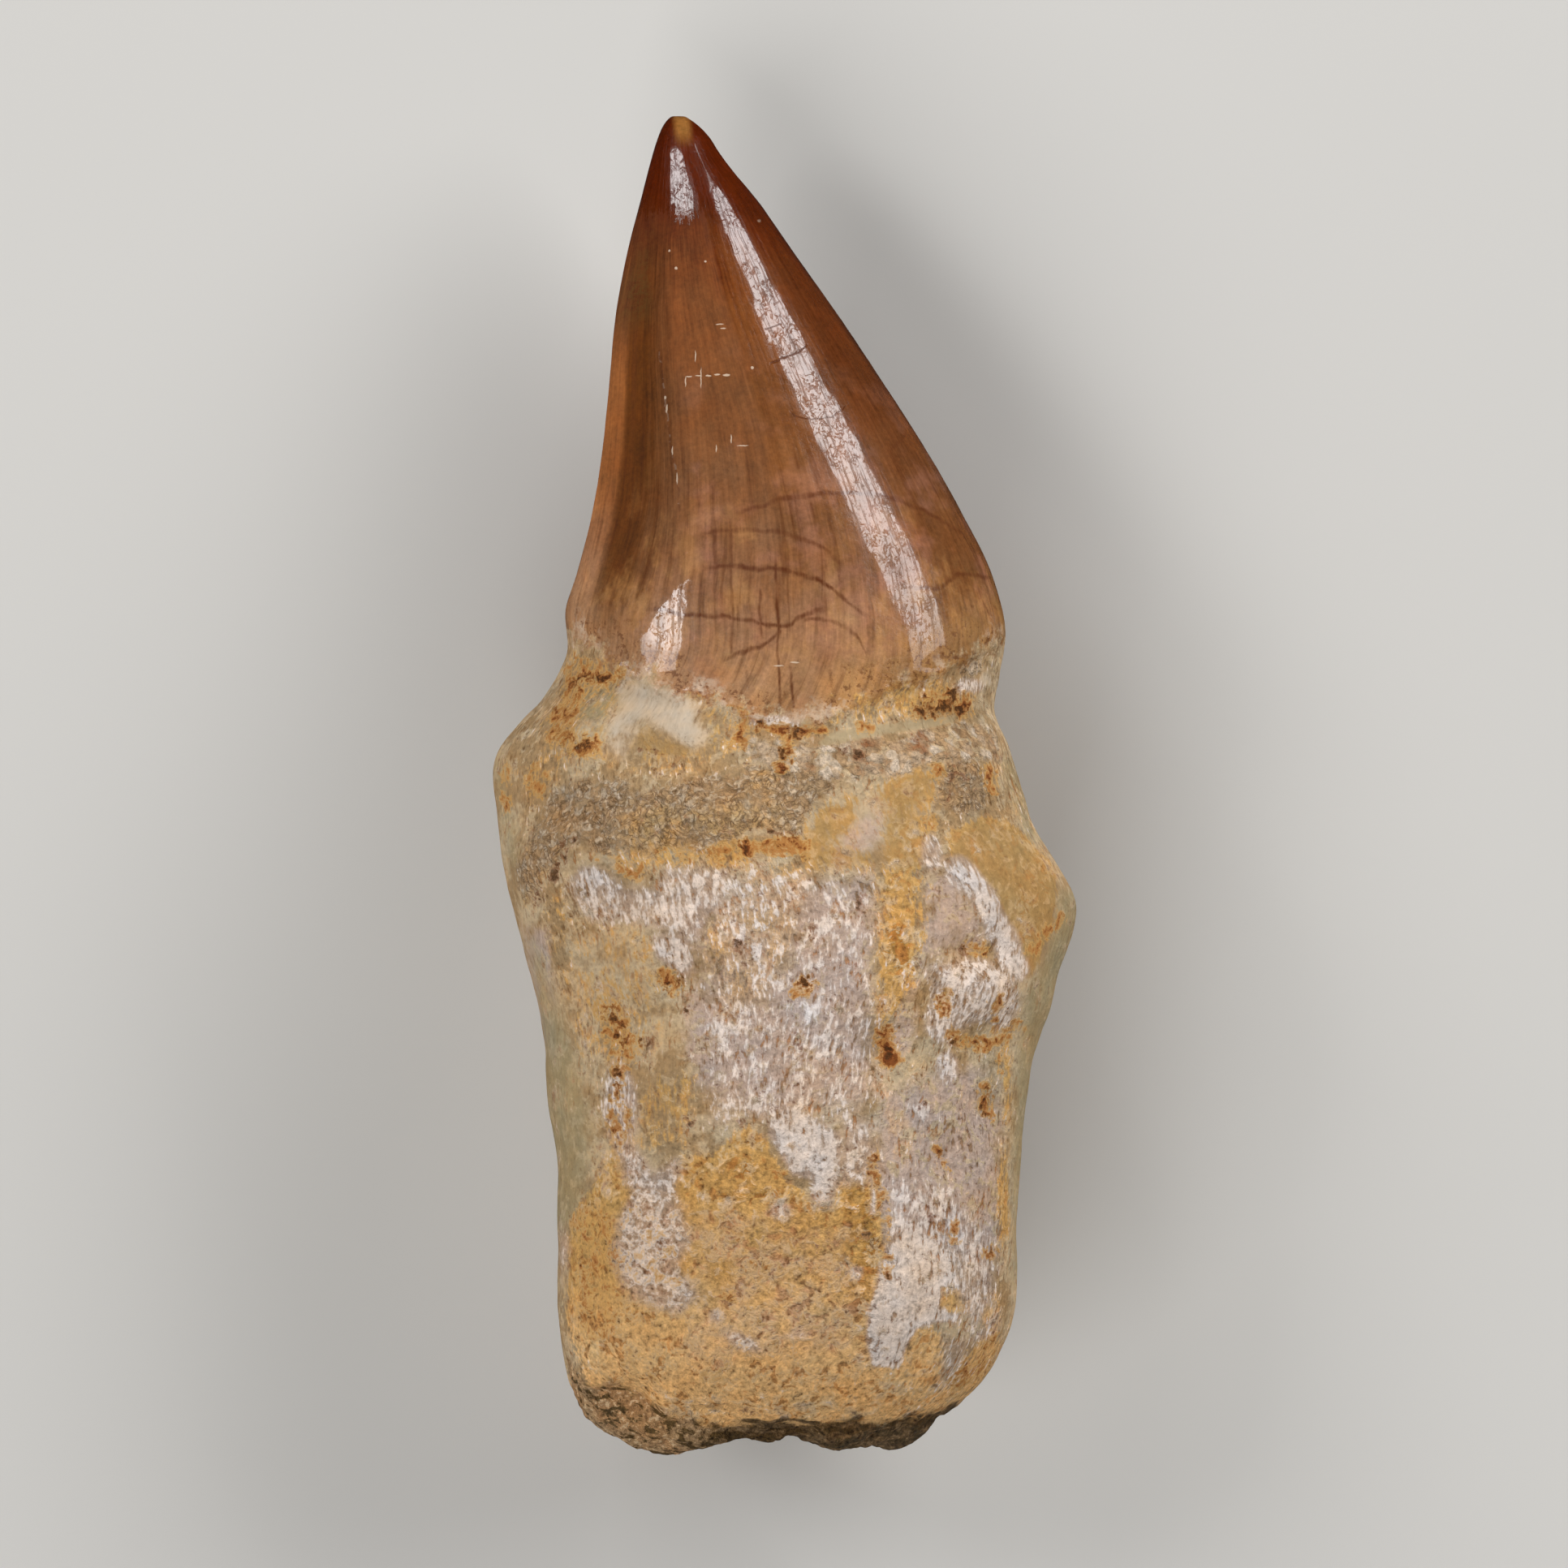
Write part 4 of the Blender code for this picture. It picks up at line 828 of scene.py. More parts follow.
class Recipe:
    """The nodes of one material."""

    def __init__(self, name):
        self.material = bpy.data.materials.new(name)
        self.material.use_nodes = True
        self.tree = self.material.node_tree
        self.tree.nodes.clear()

    def add(self, kind, settings=None, sockets=None, output=0):
        """Adds a node, makes its settings, and then fills its sockets with values or links."""
        node = self.tree.nodes.new(kind)
        for name, value in (settings or {}).items():
            if name == "stops":
                self.set_stops(node.color_ramp, value)
            elif name == "curve":
                self.set_curve(node.mapping, value)
            else:
                setattr(node, name, value)
        for name, value in (sockets or {}).items():
            if isinstance(value, Value):
                self.tree.links.new(value.socket, node.inputs[name])
            else:
                node.inputs[name].default_value = value
        return Value(self, node.outputs[output]) if node.outputs else None

    @staticmethod
    def set_stops(ramp, stops):
        ramp.interpolation = "B_SPLINE"
        while len(ramp.elements) > 1:
            ramp.elements.remove(ramp.elements[-1])
        for index, (position, colour) in enumerate(stops):
            element = ramp.elements[0] if index == 0 else ramp.elements.new(position)
            element.position = position
            element.color = (*colour, 1.0)

    @staticmethod
    def set_curve(mapping, points):
        curve = mapping.curves[0]
        while len(curve.points) < len(points):
            curve.points.new(0.5, 0.5)
        for knot, (across, up) in zip(curve.points, points):
            knot.location = (across, up)
        mapping.update()

    def mark(self, name, output="Fac"):
        """A value painted on the mesh."""
        return self.add("ShaderNodeAttribute", {"attribute_name": name}, output=output)

    def stretched(self, vector, scale):
        return self.add("ShaderNodeVectorMath", {"operation": "MULTIPLY"}, {0: vector, 1: scale})

    def shaded(self, colour, factor):
        """A colour made brighter or darker."""
        return self.add("ShaderNodeVectorMath", {"operation": "SCALE"}, {0: colour, "Scale": factor})

    def tinted(self, colour, vector, size, amount):
        """A colour whose hue drifts a little from place to place."""
        warmth = (self.clouds(vector, size, 2.0, 0.5) - 0.5) * amount
        drift = {0: 1.0 + warmth * 0.5, 1: 1.0 - warmth * 0.15, 2: 1.0 - warmth}
        drift = self.add("ShaderNodeCombineXYZ", None, drift)
        return self.add("ShaderNodeVectorMath", {"operation": "MULTIPLY"}, {0: colour, 1: drift})

    def warped(self, vector, size, amount):
        """A place shifted unevenly, by up to about half the amount."""
        sockets = {"Vector": vector, "Scale": 1.0 / size, "Detail": 2.0}
        drift = self.add("ShaderNodeTexNoise", None, sockets, "Color")
        drift = self.add("ShaderNodeVectorMath", {"operation": "SUBTRACT"}, {0: drift, 1: (0.5, 0.5, 0.5)})
        drift = self.shaded(drift, amount)
        return self.add("ShaderNodeVectorMath", {"operation": "ADD"}, {0: vector, 1: drift})

    def clouds(self, vector, size, detail=2.0, roughness=0.5, distortion=0.0):
        """Noise from 0 to 1 around a half, with lumps of about the given size."""
        sockets = {"Vector": vector, "Scale": 1.0 / size, "Detail": detail, "Roughness": roughness,
                   "Distortion": distortion}
        return self.add("ShaderNodeTexNoise", None, sockets)

    def cells(self, vector, size, output="Distance"):
        """Distance from the nearest of points scattered about the given size apart, or another output."""
        sockets = {"Vector": vector, "Scale": 1.0 / size}
        return self.add("ShaderNodeTexVoronoi", None, sockets, output)

    def split(self, vector, axis):
        return self.add("ShaderNodeSeparateXYZ", None, {0: vector}, axis)

    def blend(self, share, first, second):
        """Mixes two colours."""
        settings = {"data_type": "RGBA", "clamp_factor": True}
        first = first if isinstance(first, Value) else (*first, 1.0)
        second = second if isinstance(second, Value) else (*second, 1.0)
        return self.add("ShaderNodeMix", settings, {0: share, 6: first, 7: second}, 2)

    def between(self, share, first, second):
        """Mixes two numbers."""
        return first + (second - first) * share

    def show(self, shader):
        self.add("ShaderNodeOutputMaterial", None, {"Surface": shader})
        return self.material


class Places:
    """The coordinates that the finish is laid out in, in millimetres."""

    def __init__(self, recipe):
        turned = recipe.add("ShaderNodeTexCoord", output="Object")
        self.point = recipe.stretched(turned, (1.0 / MM,) * 3)
        self.x = recipe.split(self.point, "X")
        self.along = HIGH.y / MM - recipe.split(self.point, "Y")
        self.grain = recipe.mark("grain", "Vector")
        self.across = recipe.mark("across")
        self.front = recipe.mark("front")
        self.enamel = recipe.mark("enamel")


def drawn_line(recipe, run, rise, points, half_width, wobble):
    """A thin line through (run, rise) points in the order of run, as a share from 0 to 1."""
    start, length = points[0][0], points[-1][0] - points[0][0]
    low = min(rise_there for _, rise_there in points)
    height = max(max(rise_there for _, rise_there in points) - low, 0.01)
    share = (run - start) / length
    curve = [((there - start) / length, (rise_there - low) / height) for there, rise_there in points]
    level = recipe.add("ShaderNodeFloatCurve", {"curve": curve}, {"Value": share})
    away = abs(rise - low - level * height + wobble)
    ends = share.fade(0.0, 0.08) * share.fade(1.0, 0.92)
    return away.fade(half_width * 2.2, half_width * 0.2) * ends


def strongest(values):
    """The highest of several values."""
    total = values[0]
    for value in values[1:]:
        total = total.at_least(value)
    return total


def growth_lines(recipe, places, streaks):
    """The dark arcs and hairlines in the lower crown, broken up by the streaks."""
    ripple = (recipe.clouds(places.point, 0.9, 3.0) - 0.5) * 0.5
    patchy = recipe.clouds(places.point, 1.3, 2.0).fade(0.32, 0.56)
    arcs = []
    for group, side in ((FRONT_GROWTH_LINES, places.front), (BACK_GROWTH_LINES, 1.0 - places.front)):
        for points, strength in group:
            line = drawn_line(recipe, places.x, places.along, points, 0.11, ripple)
            arcs.append(line * side * strength)
    drift = (recipe.clouds(places.point, 1.6, 2.0) - 0.5) * 0.4
    for points, strength in FRONT_HAIRLINES:
        line = drawn_line(recipe, places.along, places.x, points, 0.07, drift)
        arcs.append(line * places.front * strength)
    return strongest(arcs) * (0.42 + patchy * 0.5 + streaks.fade(0.58, 0.42) * 0.35)


def crack_lines(recipe, places):
    """The open hairline cracks across the crown."""
    ripple = (recipe.clouds(places.point, 0.5, 3.0) - 0.5) * 0.3
    lines = []
    for points, half_width, strength in FRONT_CRACKS:
        line = drawn_line(recipe, places.x, places.along, points, half_width, ripple)
        lines.append(line * places.front * strength)
    return strongest(lines)


def broken_hairline(recipe, places):
    """The hairline down the fold, with pale dashes along it: painted highlights on the fold's ridge."""
    shaky = (recipe.clouds(places.point, 0.6, 3.0) - 0.5) * 0.4
    line = drawn_line(recipe, places.along, places.x, BROKEN_HAIRLINE, 0.04, shaky) * places.front
    dashes = recipe.clouds(recipe.stretched(places.point, (0.2, 1.0, 0.2)), 0.35, 2.0).fade(0.5, 0.6)
    return line, line * dashes


def scratch_and_glint_spots(recipe, places):
    """The single chips and scratches of the crown, and the painted highlight dots on the fold's ridge."""
    shaky = recipe.warped(places.point, 0.3, 0.12)
    spots = []
    for x, along, half_width, half_length in SCRATCHES_AND_PAINTED_GLINTS:
        centre = (x, HIGH.y / MM - along, 0.0)
        away = recipe.add("ShaderNodeVectorMath", {"operation": "SUBTRACT"}, {0: shaky, 1: centre})
        away = recipe.stretched(away, (1.0 / half_width, 1.0 / half_length, 0.0))
        reach = recipe.add("ShaderNodeVectorMath", {"operation": "LENGTH"}, {0: away}, "Value")
        spots.append(reach.fade(1.1, 0.6))
    return strongest(spots) * places.front


def enamel_ground(recipe, places, look, middle_streaks):
    """The enamel's broad colours: dark tip, brown middle, pinkish base, and the bands beside the fold, with
    painted light on the left cutting edge and painted shade on the upper right side and in the hollow beside
    the fold.
    """
    across, along = places.across, places.along
    stops = [(0.0, look.tip), (0.09, look.tip), (0.17, look.flank_shade), (0.27, look.upper), (0.55, look.middle),
             (0.78, look.lower), (0.93, look.base), (1.0, look.base)]
    uneven = (recipe.clouds(places.grain, 4.0, 3.0) - 0.5) * 0.2 + (middle_streaks - 0.5) * 0.22
    share = along / COLOURED_LENGTH + uneven * along.fade(3.0, 12.0)
    colour = recipe.add("ShaderNodeValToRGB", {"stops": stops}, {0: share})
    right_foot = across.fade(0.25, 0.7) * along.fade(20.0, 27.0)
    colour = recipe.blend(right_foot * 0.9, colour, look.middle)
    # Painted shade: the upper right side is darkened, a painted dark reflection where it turns away.
    flank_shade = across.fade(0.15, 0.85) * along.fade(30.0, 12.0)
    colour = recipe.blend(flank_shade * 0.6, colour, look.flank_shade)
    worn = abs(places.x + 6.3 - (along - 1.0) * 0.1).fade(0.75, 0.2) * along.fade(2.2, 0.8)
    colour = recipe.blend(worn * 0.85, colour, look.apex)
    # Partly painted light: the strip along the left cutting edge is paler, as lit from the left.
    lit_rim = across.fade(-0.80, -0.90) * along.fade(12.0, 17.0) * places.front
    colour = recipe.blend(lit_rim * 0.8, colour, recipe.blend(along.fade(22.0, 31.0), look.lit_rim, look.base))
    # The hollow beside the fold is darker: partly its own colour, partly a painted dark reflection.
    span = along.fade(5.0, 10.0) * along.fade(32.5, 28.0) * places.front
    valley_shade = across.fade(-0.91, -0.84) * (across + (middle_streaks - 0.5) * 0.2).fade(-0.52, -0.76) * span
    return recipe.blend(valley_shade * 0.9, colour, look.valley_shade)


def enamel_finish(recipe, places, look):
    """Colour, roughness, height and polish of the crown's enamel."""
    across, along, point = places.across, places.along, places.point
    down = recipe.stretched(places.grain, (1.0, 0.06, 1.0))
    fine = recipe.clouds(down, 0.24, 3.0, 0.7)
    middle = recipe.clouds(down, 0.5, 3.0, 0.6)
    broad = recipe.clouds(down, 1.9, 2.0)
    grains = recipe.clouds(point, 0.3, 4.0, 0.7)
    haze = recipe.clouds(point, 2.8, 3.0, 0.55)
    haze_two = recipe.clouds(recipe.stretched(point, (1.0, 0.6, 1.0)), 2.1, 4.0, 0.6)
    blotches = recipe.clouds(point, 1.5, 5.0, 0.65)
    colour = enamel_ground(recipe, places, look, middle)

    # Soft clouds in the lower half, pinkish in some places and amber in others.
    pinkish = haze.fade(0.46, 0.66) * along.fade(12.0, 27.0) * across.fade(-0.6, -0.4)
    colour = recipe.blend(pinkish * 0.4, colour, look.pink)
    tan = haze_two.fade(0.50, 0.66) * along.fade(20.0, 30.0)
    colour = recipe.blend(tan * 0.3, colour, look.amber)
    red = broad.fade(0.54, 0.66) * along.fade(6.0, 12.0)
    colour = recipe.blend(red * 0.2, colour, look.growth)

    # The enamel thins to amber towards its lower edge.
    ragged_edge = places.enamel + (blotches - 0.5) * 11.0
    thin = ragged_edge.fade(7.0, 0.0)
    amber_side = across.fade(-0.25, 0.3) * 0.35 + 0.25
    colour = recipe.blend(thin * amber_side, colour, look.amber)

    # Streaks that run from the base of the crown to its tip.
    tone = 0.95 + (fine - 0.5) * 0.8 + (middle - 0.5) * 0.6 + (grains - 0.5) * 0.9 + (haze_two - 0.5) * 0.9
    colour = recipe.shaded(recipe.tinted(colour, point, 1.8, 0.4), tone)
    grooves = middle.fade(0.42, 0.34) * along.fade(18.0, 24.0)
    colour = recipe.blend(grooves * 0.25, colour, look.growth)

    lines = growth_lines(recipe, places, fine)
    cracks = crack_lines(recipe, places)
    colour = recipe.blend(lines * 0.7, colour, look.growth)
    colour = recipe.blend(cracks * 0.85, colour, look.growth)

    # Near its lower edge it is chipped and speckled.
    bare = (haze + (blotches - 0.5) * 1.5).fade(0.5, 0.66) * ragged_edge.fade(2.4, 0.4)
    colour = recipe.blend(bare * 0.6, colour, look.chip_and_glint_white)
    specks = (grains * 1.5 - blotches).fade(0.33, 0.45) * ragged_edge.fade(2.8, 0.4)
    colour = recipe.blend(specks * 0.65, colour, look.growth)

    # The rough grey green speckle on the left cutting edge.
    speckle = across.fade(-0.60, -0.82) * along.fade(5.5, 7.5) * along.fade(14.0, 11.0) * places.front
    speckle = speckle * (grains + recipe.clouds(point, 1.6, 2.0) * 0.6).fade(0.68, 0.9)
    colour = recipe.blend(speckle * 0.7, colour, look.stain)

    # Pale chips and scratches, the broken hairline down the fold, and painted highlights on the fold's ridge.
    fold_line, painted_fold_glints = broken_hairline(recipe, places)
    colour = recipe.blend(fold_line * 0.35, colour, look.growth)
    scratches_and_painted_glints = scratch_and_glint_spots(recipe, places).at_least(painted_fold_glints * 0.2)
    colour = recipe.blend(scratches_and_painted_glints * 0.65, colour, look.chip_and_glint_white)

    # Fine wrinkles and grooves cut through the highlights.
    wrinkled = recipe.clouds(recipe.stretched(point, (1.0, 0.6, 1.0)), 0.5, 3.0, 0.6, 1.0)
    wrinkles = abs(wrinkled - 0.5).fade(0.07, 0.02) * blotches.fade(0.42, 0.52)
    grooved = fine.fade(0.50, 0.40).at_least(grains.fade(0.44, 0.36))
    # Most of the left side has lost its polish, apart from its two ends. The right side starts lower.
    place = along + (grains - 0.5) * 2.0 + (fine - 0.5) * 3.0
    left_end = (place + (blotches - 0.5) * 12.0).fade(30.4, 29.2)
    left_worn = place.fade(6.0, 6.5) * left_end * across.fade(0.05, -0.1)
    right_worn = place.fade(4.9, 4.3) * across.fade(0.1, 0.3)
    dull = [wrinkles * 0.95, grooved * 0.8, speckle, cracks, thin * thin * 0.7, left_worn, right_worn]
    polish = (1.0 - strongest(dull)) * (1.0 - along.fade(18.0, 30.0) * across.fade(-0.1, 0.2) * 0.35)
    roughness = look.roughness + speckle * 0.5 + left_worn * 0.5 + thin * 0.2 + scratches_and_painted_glints * 0.2
    height = (fine - 0.5) * 0.005 + (middle - 0.5) * 0.018 + (broad - 0.5) * 0.05
    height = height + (grains - 0.5) * 0.014 + (blotches - 0.5) * 0.04
    height = height + speckle * (grains - 0.5) * 0.15 + thin * (blotches - 0.5) * 0.2
    height = height - cracks * 0.05
    return colour, roughness, height, polish


class Bone:
    """The textures that the root's layers share."""

    def __init__(self, recipe, places):
        point, grain = places.point, places.grain
        wavy = recipe.warped(grain, 1.4, 0.14)
        self.fibres = recipe.clouds(recipe.stretched(wavy, (1.0, 0.28, 1.0)), 0.22, 2.0, 0.6)
        self.strands = recipe.clouds(recipe.stretched(wavy, (1.0, 0.4, 1.0)), 0.6, 3.0, 0.6)
        self.flecks = recipe.clouds(point, 0.75, 4.0, 0.6, 0.6)
        self.crumbs = recipe.clouds(point, 0.32, 3.0, 0.6)
        self.mottle = recipe.clouds(point, 1.7, 5.0, 0.6)
        self.cloud = recipe.clouds(point, 4.2, 3.0)
        self.smooth = recipe.mark("smooth")
        self.rough = 1.0 - self.smooth * 0.55
        # From here on the textures lie around 0.
        self.patchy = (self.mottle - 0.5) * 2.0
        self.speckled = (self.flecks - 0.5) * 2.4 + (self.crumbs - 0.5) * 1.2
        fibrous = (self.fibres - 0.5) * 2.6 + (self.strands - 0.5) * 1.2
        isotropic = places.along.fade(60.0, 67.0) * places.x.fade(7.0, 5.0)
        self.weave = recipe.between(isotropic, fibrous, self.speckled)

    def ragged(self, fine=1.0, coarse=1.0):
        """An uneven value around 0, to break up the edges of stains."""
        return (self.weave * fine + self.patchy * coarse) * self.rough

    def broken_up(self, mark):
        """A mark with an uneven edge and uneven strength, and nothing where there is no mark."""
        return mark + (self.speckled * 1.5 + self.patchy * 0.9) * mark.fade(0.0, 0.35)


def stained_bone(recipe, places, look, bone):
    """Plain bone with its lilac, olive and ochre stains."""
    colour = recipe.blend((bone.cloud + bone.patchy * 0.4).fade(0.42, 0.62), look.tan, look.cream)
    # Along the left edge the lilac is painted shade.
    lilac = (recipe.mark("lilac") + bone.patchy * 0.8 + bone.weave * 0.25).fade(0.15, 0.85)
    colour = recipe.blend(lilac * 0.9, colour, look.lilac)
    # Greenish grey bone, partly painted shade along the sides.
    olive = (recipe.mark("olive") + bone.patchy * 0.6).fade(0.15, 0.85)
    colour = recipe.blend(olive * 0.85, colour, look.olive)

    stain = recipe.mark("ochre")
    depth = (stain - 1.0 + bone.patchy * 1.2 + bone.weave * 0.3).fade(-0.05, 0.35)
    golden = recipe.blend(depth, look.ochre, look.deep_ochre)
    golden = recipe.blend(places.along.fade(70.0, 76.5) * 0.8, golden, look.sandy)
    golden = recipe.blend(bone.smooth, golden, look.smooth_ochre)
    ochre = (stain * 1.4 + bone.ragged()).fade(0.3, 0.75)
    colour = recipe.blend(ochre * 0.95, colour, golden)
    faint = (bone.patchy + (bone.cloud - 0.5) * 1.6 + bone.weave * 0.3).fade(0.1, 0.5)
    colour = recipe.blend(faint * bone.rough * 0.3, colour, look.ochre)
    # Paler and browner patches within the stain.
    pale = (bone.patchy * 0.8 + bone.speckled * 0.5).fade(0.15, 0.6) * stain * bone.rough
    colour = recipe.blend(pale * 0.5, colour, look.cream)
    veins = abs(bone.flecks - 0.5).fade(0.03, 0.01) * bone.patchy.fade(-0.1, 0.2) * stain * bone.rough
    colour = recipe.blend(veins * 0.6, colour, look.cream)
    brown = (bone.speckled * 0.5 - bone.patchy * 0.8).fade(0.25, 0.6) * stain * bone.rough
    colour = recipe.blend(brown * 0.25, colour, look.rust)
    # Pale and rusty granules.
    crumbs = (bone.flecks + bone.patchy * 0.25).fade(0.53, 0.60) * bone.rough
    colour = recipe.blend(crumbs * 0.8, colour, recipe.blend(stain * 0.5, look.cream, look.sandy))
    granules = (bone.patchy * 0.25 - bone.flecks).fade(-0.45, -0.37) * bone.rough
    return recipe.blend(granules * (stain * 0.55 + 0.1), colour, look.rust)


def bone_finish(recipe, places, look):
    """Colour, roughness and height of the root."""
    bone = Bone(recipe, places)
    colour = stained_bone(recipe, places, look, bone)

    # Chalky flakes lie over the stains as short white flecks, closed up to sheets where they are dense. The
    # bone between them is pale as well.
    powdered = (recipe.mark("chalk") + bone.patchy * 0.4).fade(0.05, 0.6)
    colour = recipe.blend(powdered * 0.65, colour, look.lilac)
    chalk = (recipe.mark("chalk") + bone.ragged(1.3, 0.45)).fade(0.42, 0.9)
    colour = recipe.blend(chalk * 0.8, colour, look.chalk)

    # Short upright pores between the flakes, some brown and some rusty, and darker specks.
    stained = 1.0 - recipe.mark("ochre") * 0.5
    pores = (bone.patchy * 0.5 - bone.weave).fade(0.26, 0.55) * bone.rough * stained
    pore_colour = recipe.blend(bone.cloud.fade(0.44, 0.56), look.pore, look.rust)
    colour = recipe.blend(pores * 0.7, colour, pore_colour)
    specks = (bone.patchy * 0.5 - (bone.crumbs - 0.5) * 2.4).fade(0.36, 0.5) * bone.rough
    colour = recipe.blend(specks * 0.5, colour, look.iron)

    contrast = 1.1 + recipe.mark("ochre") * 0.6
    tone = 1.01 + ((bone.crumbs - 0.5) * contrast + bone.weave * 0.3) * bone.rough + bone.patchy * 0.25
    colour = recipe.shaded(recipe.tinted(colour, places.point, 2.4, 0.5), tone)

    colour, grit, grain_height = grit_finish(recipe, places, look, colour, bone)

    plaster = (recipe.mark("plaster") + bone.patchy * 0.9 + bone.weave * 0.35).fade(0.2, 1.1)
    shade = 1.0 + bone.patchy * 0.3 + bone.weave * 0.15
    pale = recipe.shaded(recipe.tinted(look.plaster, places.point, 1.2, 0.4), shade)
    colour = recipe.blend(plaster * 0.95, colour, pale)
    chip = (recipe.mark("chip") + bone.patchy * 0.6).fade(0.35, 0.75)
    colour = recipe.blend(chip * 0.5, colour, look.smooth_ochre)
    putty = (recipe.mark("putty") + bone.patchy * 0.7 + bone.speckled * 0.3).fade(0.3, 0.9)
    colour = recipe.blend(putty * 0.65, colour, look.putty)

    rust = bone.broken_up(recipe.mark("rust"))
    colour = recipe.blend(rust.fade(0.28, 0.6) * 0.7, colour, look.ochre)
    colour = recipe.blend(rust.fade(0.62, 0.95) * 0.8, colour, look.rust)
    colour = recipe.blend(rust.fade(1.1, 1.4) * 0.85, colour, look.iron)
    dark = bone.broken_up(recipe.mark("dark"))
    pits = dark.fade(0.7, 1.15)
    colour = recipe.blend(dark.fade(0.4, 0.75) * 0.55, colour, look.iron)
    colour = recipe.blend(pits * 0.8, colour, look.pit)

    colour, broken = broken_end_finish(recipe, places, look, colour, bone)

    filled = plaster.at_least(putty)
    even = filled.at_least(bone.smooth * 0.7)
    roughness = 0.8 - even * 0.2 + chalk * 0.06
    height = bone.weave * 0.06 + (bone.flecks - 0.5) * 0.2 + (bone.crumbs - 0.5) * 0.1
    height = height * (1.0 - even * 0.8) - pores * 0.03 - pits * 0.06 + chalk * 0.02 - chip * 0.04
    height = height + grit * (1.0 - filled) * grain_height + broken * bone.speckled * 0.18
    return colour, roughness, height


def grit_finish(recipe, places, look, colour, bone):
    """The sandy band, wrinkled with thin dark lines, and the paler gravel beside it, with painted shade
    between its crumbs.
    """
    wrinkles = recipe.clouds(places.point, 0.95, 3.0, 0.55, 1.2)
    small = recipe.clouds(places.point, 0.5, 3.0, 0.55, 0.8)
    lines = abs(wrinkles - 0.5).fade(0.05, 0.01).at_least(abs(small - 0.5).fade(0.04, 0.005) * 0.6)
    ragged = bone.patchy * 1.2 + bone.speckled * 0.6
    grit = (recipe.mark("grit") + ragged).fade(0.2, 0.8)
    sandy = recipe.blend(small.fade(0.46, 0.64) * 0.8, look.grit, look.plaster)
    sandy = recipe.blend((bone.cloud + bone.patchy * 0.3).fade(0.5, 0.66) * 0.5, sandy, look.ochre)
    sandy = recipe.blend(lines * (bone.patchy * 2.0 + 0.85).clamped() * 0.8, sandy, look.grit_lines_and_gap_shade)
    sandy = recipe.shaded(recipe.tinted(sandy, places.point, 1.6, 0.7), 1.02 + (bone.crumbs - 0.5) * 2.0)
    colour = recipe.blend(grit * 0.85, colour, sandy)

    # The gravel's crumbs are painted paler in their middles and darker where they meet: painted light and
    # shade of round crumbs.
    gravel = (recipe.mark("gravel") + ragged).fade(0.2, 0.75)
    shifted = recipe.warped(recipe.warped(places.point, 1.2, 0.9), 0.35, 0.25)
    apart = recipe.cells(shifted, 0.85)
    tones = recipe.split(recipe.cells(shifted, 0.85, output="Color"), "X")
    pale = (apart + (bone.crumbs - 0.5) * 0.8).fade(0.75, 0.4)
    crumbs = recipe.blend(tones.fade(0.1, 0.9), look.grit, look.cream)
    crumbs = recipe.blend(pale * tones * 0.5, crumbs, look.chalk)
    shaded_gaps = (1.0 - pale) * (bone.patchy * 2.0 + 0.45).clamped()
    gap_shade_and_rust = recipe.blend(bone.cloud.fade(0.45, 0.55), look.grit_lines_and_gap_shade, look.iron)
    crumbs = recipe.blend(shaded_gaps * 0.8, crumbs, gap_shade_and_rust)
    colour = recipe.blend(gravel * 0.9, colour, recipe.shaded(crumbs, 1.15 + (bone.crumbs - 0.5) * 2.2))
    both = grit.at_least(gravel)
    return colour, both, (small - 0.5) * 0.3 + (wrinkles - 0.5) * 0.2 - lines * 0.03 + gravel * pale * 0.1


def broken_end_finish(recipe, places, look, colour, bone):
    """Dark matrix with tan and cream crumbs in flat lumps over the root's broken end, with painted shade
    darkening its right part.
    """
    layered = recipe.clouds(recipe.stretched(places.point, (0.6, 1.3, 1.0)), 0.7, 4.0, 0.6, 0.6)
    broken = (recipe.mark("broken") + bone.patchy * 0.8 + bone.speckled * 0.3).fade(0.3, 0.75)
    left_lobe_and_right_shade = places.x.fade(-2.0, -7.0) * 0.13 - 0.04
    crumbs = (layered + bone.patchy * 0.2 + left_lobe_and_right_shade * 0.4).fade(0.44, 0.54)
    rough = recipe.blend(crumbs * (left_lobe_and_right_shade * 5.0 + 0.5), look.matrix, look.grit)
    rusty = (bone.cloud + left_lobe_and_right_shade).fade(0.46, 0.6) * crumbs * (left_lobe_and_right_shade * 2.0 + 0.2)
    rough = recipe.blend(rusty, rough, look.rust)
    pale = (bone.crumbs + (layered - 0.5)).fade(0.58, 0.7) * (left_lobe_and_right_shade * 4.0 + 0.3)
    rough = recipe.blend(pale, rough, look.cream)
    # Painted shade: the lumps are darker towards the right of the broken end, brighter towards the left.
    rough = recipe.shaded(rough, 0.9 + left_lobe_and_right_shade * 4.0 + (bone.crumbs - 0.5) * 2.8)
    return recipe.blend(broken * 0.9, colour, rough), broken


